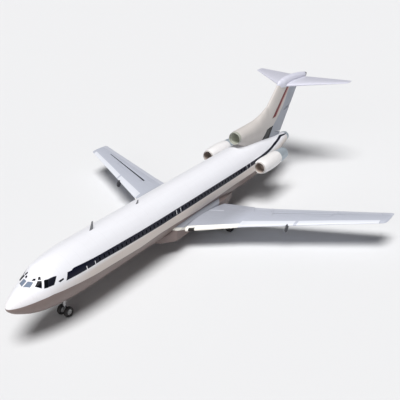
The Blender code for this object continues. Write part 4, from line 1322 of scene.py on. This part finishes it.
@dataclass
class FlightDeckGlazing:
    """The windscreen, side and eyebrow panes with their frames, and the dark masks painted behind them."""

    # Front low, rear low, rear high and front high corner of each pane on the left.
    panes: dict[str, tuple[Point, Point, Point, Point]] = field(default_factory=lambda: {
        "windscreen_front": ((0.05, 1.53, 4.31), (0.50, 1.76, 4.31), (0.46, 2.16, 4.52), (0.05, 2.02, 4.53)),
        "side_front": ((0.70, 2.00, 4.33), (1.05, 2.28, 4.17), (0.81, 2.56, 4.55), (0.60, 2.38, 4.56)),
        "side_rear": ((1.14, 2.40, 4.13), (1.25, 2.65, 4.11), (1.04, 2.93, 4.57), (0.90, 2.68, 4.56)),
        "eyebrow_front": ((0.27, 2.17, 4.58), (0.48, 2.30, 4.58), (0.42, 2.43, 4.66), (0.28, 2.34, 4.65)),
        "eyebrow_side": ((0.59, 2.43, 4.62), (0.77, 2.57, 4.62), (0.60, 2.70, 4.76), (0.49, 2.59, 4.75)),
    })
    masks: dict[str, tuple[Point, Point, Point, Point]] = field(default_factory=lambda: {
        "mask_behind_panes": ((1.245, 2.63, 4.12), (1.39, 3.10, 4.14), (1.27, 3.52, 4.61), (1.035, 2.91, 4.57)),
        "mask_bar": ((1.50, 3.58, 4.15), (1.54, 3.92, 4.23), (1.50, 3.90, 4.33), (1.45, 3.47, 4.27)),
    })

    def build(self, body: BodyShell, paints: Paints) -> None:
        """Build the panes and masks of both sides.

        Args:
            body: the body whose skin they follow.
            paints: the finishes.
        """
        for name, corners in (*self.panes.items(), *self.masks.items()):
            if name in self.masks:
                look, rim, radius, lift = (paints.navy, paints.navy), 0.015, 0.02, 0.007
            else:
                glass = paints.front_glass if name == "windscreen_front" else paints.dark_glass
                frame_paint = paints.lip if name == "windscreen_front" else paints.navy
                look, rim, radius, lift = (frame_paint, glass), 0.016, 0.035, 0.012
            pane = SkinPatch(name, corners, rim, radius, lift, 10, 10).build(body, look)
            both_sides(pane)


@dataclass
class CabinWindows:
    """The row of small panes along each side, inside the dark band."""

    first: float = 7.42
    pitch: float = 0.508
    count: int = 43
    width: float = 0.25
    height: float = 0.33
    level: float = 4.125
    # The row rises with the band ahead of this station, by this much at its first pane.
    rise_from: float = 12.6
    rise: float = 0.17

    def build(self, body: BodyShell, rim: Finish, glass: Finish) -> None:
        """Model one pane, repeat it along the body, lift the front of the row and mirror it.

        Args:
            body: the body whose skin the panes follow.
            rim: the finish of a pane's edge.
            glass: the finish of a pane.
        """
        half_width, half_height = self.width / 2.0, self.height / 2.0
        corners = body.upright(self.first - half_width, self.first + half_width, self.level - half_height,
                               self.level + half_height)
        pane = SkinPatch("cabin_windows", corners, 0.028, 0.09, 0.005, 4, 5).build(body, (rim, glass))
        modify(pane, "ARRAY", count=self.count, use_relative_offset=False, use_constant_offset=True,
               constant_offset_displace=(0.0, self.pitch * SCALE, 0.0))
        start, end = at(0, self.rise_from, 0).y, at(0, self.first, 0).y
        for vert in pane.data.vertices:
            part = min(max((start - vert.co.y) / (start - end), 0.0), 1.0)
            z = vert.co.z / SCALE
            lifted = z + self.rise * part**1.4
            vert.co.x *= body.cabin_width(lifted) / body.cabin_width(z)
            vert.co.z = lifted * SCALE
        both_sides(pane)


@dataclass
class Doors:
    """The outlines of the cabin doors and overwing exits, and the white bars beside them."""

    # Name, front and rear station, sill and head height, width of the outline, sides.
    openings: tuple[tuple[str, float, float, float, float, float, tuple[Side, ...]], ...] = (
        ("cabin_door", 6.03, 6.90, 2.86, 4.70, 0.055, (Side.LEFT,)),
        ("service_door", 6.10, 6.90, 3.10, 4.70, 0.055, (Side.RIGHT,)),
        ("overwing_exit_front", 16.66, 17.20, 3.62, 4.52, 0.038, tuple(Side)),
        ("overwing_exit_rear", 17.76, 18.30, 3.62, 4.52, 0.038, tuple(Side)),
        ("rear_service_door", 29.30, 30.05, 3.10, 4.60, 0.045, tuple(Side)),
    )
    # Name, front and rear station, low and high edge of the white bars beside the openings.
    bars: tuple[tuple[str, float, float, float, float], ...] = (
        ("door_bar_front", 6.00, 6.07, 4.07, 4.34),
        ("door_bar_rear", 6.87, 6.94, 4.07, 4.34),
        ("exit_bar_front", 17.15, 17.25, 3.94, 4.30),
        ("exit_bar_rear", 17.76, 17.86, 3.94, 4.30),
    )

    def build(self, body: BodyShell, paints: Paints) -> None:
        """Build the bars, and each outline on its sides.

        Args:
            body: the body whose skin they follow.
            paints: the finishes.
        """
        white = (paints.plain_livery, paints.plain_livery)
        for name, *sizes in self.bars:
            bar_patch = SkinPatch(name, body.upright(*sizes), 0.012, 0.02, 0.006, 3, 6)
            both_sides(bar_patch.build(body, white))
        for name, *sizes, rim, sides in self.openings:
            # The rear doors' outlines are white where they cross the band.
            look = white if name.startswith("rear") else (paints.livery, paints.livery)
            outline = SkinPatch(name, body.upright(*sizes), rim, 0.10, 0.006, 6, 14, True)
            both_sides(outline.build(body, look), sides)


@dataclass
class SideEngine:
    """One engine beside the tail: cowl, intake lip, spinning fan and exhaust."""

    side: Side
    x: float = 2.95
    z: float = 4.14
    start: float = 29.75
    fan_station: float = 30.80
    exhaust_start: float = 33.3006
    blades: int = 28
    # Distance aft of the front and radius along each outline.
    cowl: Line = (
        (0.12, 0.609), (0.25, 0.649), (0.48, 0.694), (0.75, 0.720), (1.10, 0.745), (1.60, 0.759),
        (2.20, 0.759), (2.70, 0.749), (3.15, 0.719), (3.55, 0.680), (3.55, 0.575), (1.60, 0.575),
        (0.90, 0.530), (0.55, 0.497), (0.35, 0.476), (0.12, 0.484))
    lip: Line = (
        (0.12, 0.6088), (0.07, 0.588), (0.03, 0.568), (0.006, 0.548), (0.0, 0.530), (0.010, 0.512),
        (0.035, 0.498), (0.07, 0.489), (0.12, 0.4842), (0.14, 0.50), (0.14, 0.59))
    exhaust: Line = (
        (0.0, 0.672), (0.04, 0.680), (0.10, 0.670), (0.70, 0.638), (0.75, 0.646), (0.81, 0.632),
        (1.30, 0.592), (1.35, 0.600), (1.41, 0.586), (1.63, 0.569), (1.65, 0.561), (1.63, 0.550),
        (0.75, 0.585), (0.0, 0.603))
    # Distance aft of the fan's middle and radius of the spinner and its shaft.
    hub: Line = (
        (-0.28, 0.0), (-0.272, 0.03), (-0.25, 0.065), (-0.21, 0.10), (-0.16, 0.13), (-0.09, 0.152),
        (0.0, 0.165), (0.12, 0.165), (0.12, 0.05), (0.31, 0.05), (0.31, 0.0))
    # Distance from the engine's axis at which the blades start and end, their place and half their width.
    blade_reach: tuple[float, float] = (0.145, 0.505)
    blade_aft: float = 0.06
    blade_chord: float = 0.062
    # A blade's section: places along and across it, as parts of its half width and thickness.
    blade_section: Line = ((-1, 0), (-0.4, 1), (0.4, 0.8), (1, 0), (0.4, -0.8), (-0.4, -1))

    def build(self, paints: Paints) -> None:
        """Build the engine's pieces.

        Args:
            paints: the finishes.
        """
        word, x = self.side.word, self.x * self.side.value
        front = (x, self.start, self.z)
        cowl = lathe(f"cowl_skin_{word}", self.cowl, front, AFT, 72)
        for paint in (paints.cowl, paints.duct):
            cowl.data.materials.append(paint)
        for face in cowl.data.polygons:
            inward = (face.center - at(*front)).cross(Vector(AFT)).cross(Vector(AFT))
            face.material_index = 1 if face.normal.dot(inward) > 0.2 else 0
        present(smooth(cowl, 40.0), "airframe", None, f"cowl_{word}")
        lip = lathe(f"cowl_lip_{word}", self.lip, front, AFT, 72)
        present(smooth(lip, 60.0), "airframe", paints.lip)
        fan = self.build_fan((x, self.fan_station, self.z))
        present(smooth(fan, 50.0), f"fan_{word}", paints.fan, f"fan_{word}")
        exhaust = lathe(f"exhaust_skin_{word}", self.exhaust, (x, self.exhaust_start, self.z), AFT, 72)
        present(smooth(exhaust, 35.0), "airframe", paints.hot, f"exhaust_{word}")

    def blade(self, centre: Point) -> Piece:
        """Build one twisted blade that points to port.

        Args:
            centre: the fan's centre, full-size metres.

        Returns:
            The blade.
        """
        root, tip = self.blade_reach
        rings = []
        for part in spaced(0.0, 1.0, 6):
            lean = math.radians(28.0 + 34.0 * part)
            thick = 0.008 - 0.004 * part
            ring = []
            for along, across in self.blade_section:
                run, offset = along * self.blade_chord, across * thick
                ring.append(at(centre[0] + root + (tip - root) * part,
                               centre[1] + self.blade_aft + run * math.cos(lean) + offset * math.sin(lean),
                               centre[2] + run * math.sin(lean) - offset * math.cos(lean)))
            rings.append(ring)
        return extruded("blade", rings)

    def build_fan(self, centre: Point) -> Piece:
        """Build the spinner with its blades.

        Args:
            centre: the fan's centre, full-size metres.

        Returns:
            The fan as one piece.
        """
        name = f"fan_blades_{self.side.word}"
        blade, pivot = self.blade(centre), Matrix.Translation(at(*centre))
        pieces = [lathe(name, self.hub, centre, AFT, 40)]
        for i in range(self.blades):
            turn = Matrix.Rotation(2.0 * math.pi * i / self.blades, 4, "Y")
            pieces.append(copied(blade, f"blade_{i}", pivot @ turn @ pivot.inverted()))
        bpy.data.objects.remove(blade, do_unlink=True)
        return joined(name, pieces)


@dataclass
class CenterIntake:
    """The lip of the centre intake."""

    start: float = 29.90
    z: float = 6.55
    profile: Line = (
        (0.30, 0.652), (0.18, 0.650), (0.08, 0.636), (0.02, 0.615), (0.0, 0.597), (0.015, 0.578),
        (0.06, 0.562), (0.14, 0.556), (0.30, 0.561))

    def build(self, paints: Paints) -> None:
        """Build the lip ring."""
        lip = lathe("center_intake_ring", self.profile, (0.0, self.start, self.z), AFT, 80)
        present(smooth(lip, 50.0), "airframe", paints.center_lip, "center_intake_lip")


@dataclass
class TailNozzle:
    """The centre engine's nozzle at the end of the body."""

    start: float = 40.8006
    z: float = 3.62
    profile: Line = (
        (0.0, 0.585), (0.03, 0.590), (0.06, 0.578), (0.35, 0.522), (0.38, 0.530), (0.42, 0.514),
        (0.66, 0.455), (0.68, 0.445), (0.67, 0.425), (0.35, 0.46), (0.0, 0.50))

    def build(self, paints: Paints) -> None:
        """Build the nozzle."""
        nozzle = lathe("tail_nozzle", self.profile, (0.0, self.start, self.z), AFT, 72)
        present(smooth(nozzle, 40.0), "airframe", paints.hot, "center_exhaust")


@dataclass
class WheelPair:
    """Twin tyres and their hubs on one axle."""

    name: str
    centre: Point
    radius: float
    width: float
    # Distance of each tyre's middle from the centre, and the axle's radius.
    offset: float
    axle: float
    grooves: int = 4
    bosses: int = 9
    # The rim's radius as part of the tyre's.
    rim_part: float = 0.52

    @staticmethod
    def mirrored_line(line: Line) -> Line:
        """Return a half outline followed by its mirror image."""
        return [*line, *((-along, reach) for along, reach in reversed(line))]

    def tyre_profile(self) -> Line:
        """Return a tyre's outline with grooves round its tread.

        Returns:
            Distance along the axle and radius of each point, full-size metres.
        """
        half, radius = self.width / 2.0, self.radius
        tread = half * 0.62
        outline = []
        pitch = 2.0 * tread / (self.grooves + 1)
        for i in range(self.grooves):
            middle = -tread + pitch * (i + 1)
            crown = radius - 0.012 * (middle / tread)**2
            for shift, sink in ((-0.016, 0.0), (-0.012, 0.018), (0.012, 0.018), (0.016, 0.0)):
                outline.append((middle + shift * half * 2.5, crown - sink))
        side = [(tread, radius * 0.985), (half * 0.82, radius * 0.962), (half * 0.93, radius * 0.92),
                (half * 0.99, radius * 0.85), (half, radius * 0.78), (half * 0.96, radius * 0.70),
                (half * 0.86, radius * 0.62), (half * 0.76, radius * 0.56),
                (half * 0.72, radius * self.rim_part + 0.002)]
        return [*outline, *self.mirrored_line(side)]

    def hub_profile(self) -> Line:
        """Return the hubs' outline: dished faces, flanges and the axle between.

        Returns:
            Distance along the axle and radius of each point, full-size metres.
        """
        rim, half, axle = self.radius * self.rim_part, self.width / 2.0, self.axle
        inner, outer = self.offset - half * 0.72, self.offset + half * 0.72
        return self.mirrored_line([
            (outer + 0.02, 0.0), (outer + 0.02, axle * 1.1), (outer + 0.012, axle * 1.5),
            (outer - 0.03, axle * 1.7), (outer - 0.06, axle * 2.0), (outer - 0.07, rim * 0.72),
            (outer - 0.05, rim * 0.80), (outer - 0.012, rim * 0.86), (outer, rim * 0.90),
            (outer + 0.004, rim), (outer - 0.006, rim), (inner + 0.006, rim), (inner, rim * 0.99),
            (inner, rim * 0.85), (inner + 0.05, axle * 1.6), (inner + 0.05, axle)])

    def build(self, body: str, paints: Paints) -> None:
        """Build the wheels.

        Args:
            body: the body that the wheels turn with.
            paints: the finishes.
        """
        x, s, z = self.centre
        pieces = [lathe(f"{self.name}_rims", self.hub_profile(), self.centre, PORT, 48)]
        reach = self.radius * 0.30
        for side in Side:
            face = x + (self.offset + self.width * 0.36 - 0.075) * side.value
            for i in range(self.bosses):
                turn = 2.0 * math.pi * i / self.bosses
                spot = (s + reach * math.cos(turn), z + reach * math.sin(turn))
                pieces.append(bar(f"boss_{i}", (face, *spot), (face + 0.022 * side.value, *spot),
                                  self.radius * 0.045, 12, 0.003))
        hubs = smooth(joined(f"{self.name}_rims", pieces), 40.0)
        present(hubs, body, paints.gear, f"{self.name}_hubs")
        for side in Side:
            tyre = lathe(f"{self.name}_tread_{side.word}", self.tyre_profile(),
                         (x + self.offset * side.value, s, z), PORT, 72)
            present(smooth(tyre, 40.0), body, paints.rubber, f"{self.name}_tyre_{side.word}")


@dataclass
class NoseGear:
    """The steered nose gear: leg, torque links, taxi lamp, fork and twin wheels."""

    station: float = 5.26
    tyre_radius: float = 0.405
    lamp: Line = ((0.0, 0.0), (0.0, 0.062), (0.05, 0.062), (0.075, 0.03), (0.075, 0.0))

    def build(self, paints: Paints) -> None:
        """Build the nose gear.

        Args:
            paints: the finishes.
        """
        s, axle_z = self.station, self.tyre_radius
        wheels = WheelPair("nose_wheel", (0.0, s, axle_z), axle_z, 0.29, 0.33, 0.045, 3)
        wheels.build("nose_wheels", paints)
        leg = [bar("leg", (0, s, 2.25), (0, s, 0.952), 0.095),
               bar("trunnion", (-0.297, s, 2.15), (0.297, s, 2.15), 0.06),
               bar("brace", (0, s + 0.02, 1.25), (0, s + 0.40, 2.30), 0.045),
               bar("collar", (0, s, 1.30), (0, s, 1.20), 0.13),
               bar("collar_low", (0, s, 1.02), (0, s, 0.955), 0.115),
               block("lamp_bracket", (-0.20, s - 0.13, 1.36), (0.20, s - 0.07, 1.42), 0.008)]
        present(joined("nose_strut", leg), "airframe", paints.gear, "nose_leg")
        lamps = [lathe("lamp", self.lamp, (x, s - 0.17, 1.39), AFT, 24) for x in (-0.16, 0.16)]
        present(smooth(joined("taxi_lamps", lamps), 40.0), "airframe", paints.lens)
        fork = [bar("piston", (0, s, 0.949), (0, s, axle_z), 0.068),
                bar("ring", (0, s, 0.949), (0, s, 0.87), 0.11),
                bar("barrel", (-0.12, s, axle_z), (0.12, s, axle_z), 0.09),
                block("link_high", (-0.05, s - 0.25, 0.70), (0.05, s - 0.05, 0.74), 0.01),
                block("link_low", (-0.05, s - 0.25, 0.52), (0.05, s - 0.05, 0.56), 0.01),
                bar("link_pin", (-0.06, s - 0.24, 0.63), (0.06, s - 0.24, 0.63), 0.03, 16),
                block("link_web", (-0.03, s - 0.26, 0.54), (0.03, s - 0.22, 0.72), 0.008)]
        present(joined("nose_piston", fork), "nose_steering", paints.bright, "nose_fork")


@dataclass
class MainGear:
    """One main gear: leg, side brace, torque links, link to the door and twin wheels."""

    side: Side
    station: float = 23.70
    x: float = 2.86
    tyre_radius: float = 0.6225

    def build(self, paints: Paints) -> None:
        """Build the main gear.

        Args:
            paints: the finishes.
        """
        s, axle_z = self.station, self.tyre_radius
        k, word = self.side.value, self.side.word
        x = self.x * k
        wheels = WheelPair(f"main_wheel_{word}", (x, s, axle_z), axle_z, 0.43, 0.432, 0.07)
        wheels.build(f"main_wheels_{word}", paints)
        leg = [bar("leg", (x, s, 1.93), (x, s, 1.02), 0.13),
               bar("piston", (x, s, 1.03), (x, s, axle_z), 0.095),
               bar("trunnion", (x, s - 0.319, 1.87), (x, s + 0.279, 1.87), 0.06),
               bar("brace", (x - 0.05 * k, s, 1.15), (x - 0.62 * k, s, 1.86), 0.05),
               bar("barrel", (x - 0.17, s, axle_z), (x + 0.17, s, axle_z), 0.14),
               bar("door_link", (x, s, 1.62), (x + 0.30 * k, s, 1.62), 0.03),
               bar("gland", (x, s, 1.08), (x, s, 1.0), 0.15),
               bar("hose", (x - 0.10 * k, s - 0.13, 1.80), (x - 0.10 * k, s - 0.13, 0.80), 0.014, 10, 0.002),
               block("link_high", (x - 0.07, s + 0.10, 0.98), (x + 0.07, s + 0.30, 1.03), 0.012),
               block("link_low", (x - 0.07, s + 0.10, 0.70), (x + 0.07, s + 0.30, 0.75), 0.012),
               block("link_web", (x - 0.04, s + 0.27, 0.72), (x + 0.04, s + 0.31, 1.01), 0.012)]
        present(joined(f"main_strut_{word}", leg), "airframe", paints.gear, f"main_leg_{word}")


@dataclass
class Antennas:
    """Blade antennas on the crown and the belly."""

    # Name, station, foot, height (negative hangs down) and chord.
    blades: tuple[tuple[str, float, float, float, float], ...] = (
        ("antenna_tall", 8.45, 5.59, 0.65, 0.42),
        ("antenna_short", 14.05, 5.58, 0.30, 0.36),
        ("antenna_belly", 13.10, 1.60, -0.335, 0.50),
    )

    def blade(self, name: str, s: float, foot: float, height: float, chord: float) -> Piece:
        """Build one swept blade, upwards or, with a negative height, downwards.

        Args:
            name: the object's name.
            s: the station of its front, full-size metres.
            foot: the height of its foot.
            height: its own height.
            chord: its length at the foot.

        Returns:
            The blade.
        """
        rings = []
        for part in spaced(0.0, 1.0, 7):
            run = chord * (1.0 - 0.62 * part**1.3)
            lean = chord * 0.75 * part
            thick = 0.035 * (1.0 - 0.6 * part)
            turns = [2.0 * math.pi * i / 16 for i in range(16)]
            rings.append([at(thick * math.sin(turn), s + lean + run * (0.5 + 0.5 * math.cos(turn)),
                             foot + height * part) for turn in turns])
        return smooth(extruded(name, rings), 40.0)

    def build(self, paints: Paints) -> None:
        """Build the antennas; only the tall one is a node of its own.

        Args:
            paints: the finishes.
        """
        for name, s, foot, height, chord in self.blades:
            piece = self.blade(name, s, foot, height, chord)
            node = "blade_antenna" if name == "antenna_tall" else None
            present(piece, "airframe", paints.antenna, node)


@dataclass
class WingFence:
    """The small swept fence that hangs below each wing's leading edge, on the slat."""

    side: Side
    span: float = 9.20
    # The slat's root: span, station of its leading edge and the fence's foot there.
    slat_root: Point = (5.80, 21.20, 2.26)
    sweep: float = 0.5981
    dihedral: float = 0.0515
    half_thickness: float = 0.05
    # Distance aft of the leading edge and height above the foot.
    outline: Line = (
        (0.0, 0.03), (-0.22, -0.04), (-0.38, -0.20), (-0.42, -0.42), (-0.30, -0.62), (-0.10, -0.66),
        (0.10, -0.52), (0.22, -0.30), (0.26, -0.12))

    def build(self, paints: Paints) -> None:
        """Build the fence as a thin rounded plate.

        Args:
            paints: the finishes.
        """
        root, lead, foot = self.slat_root
        outboard = self.span - root
        lead, foot = lead + outboard * self.sweep, foot + outboard * self.dihedral
        rings = [[at((self.span + x) * self.side.value, lead + run, foot + rise)
                  for run, rise in self.outline]
                 for x in (-self.half_thickness, self.half_thickness)]
        fence = extruded(f"wing_fence_{self.side.word}", rings)
        modify(fence, "BEVEL", width=0.006, segments=2, limit_method="ANGLE")
        present(smooth(fence, 40.0), f"slat_{self.side.word}", paints.fence)


def carry_over(paints: Paints) -> None:
    """Give every solid that still shows its finish.

    Args:
        paints: the finishes.
    """
    slots = {part["node"]: part["material_slot"] for part in frame["record"]["subparts"]}
    special = {"fin": paints.fin, "lower_rudder": paints.fin, "upper_rudder": paints.fin,
               "belly_fairing": paints.fairing, "bullet_fairing": paints.bullet}
    for side in Side:
        special[f"slat_{side.word}"] = paints.wing
        special[f"tailplane_{side.word}"] = special[f"elevator_{side.word}"] = paints.lavender
    for name, node in frame["nodes"].items():
        if name not in REPLACED:
            node.data.materials.clear()
            node.data.materials.append(special.get(name) or paints.for_slot(slots[name]))


def main() -> None:
    """Build the stage and the aircraft, in order."""
    logging.basicConfig(level=logging.INFO, format="%(message)s")
    Studio().build()
    paints = Paints()
    body = BodyShell()
    body.build(paints.livery)
    FlightDeckGlazing().build(body, paints)
    CabinWindows().build(body, paints.window_rim, paints.cabin_glass)
    Doors().build(body, paints)
    for side in Side:
        SideEngine(side).build(paints)
        MainGear(side).build(paints)
        WingFence(side).build(paints)
    CenterIntake().build(paints)
    TailNozzle().build(paints)
    NoseGear().build(paints)
    Antennas().build(paints)
    carry_over(paints)


if __name__ == "__main__":
    main()
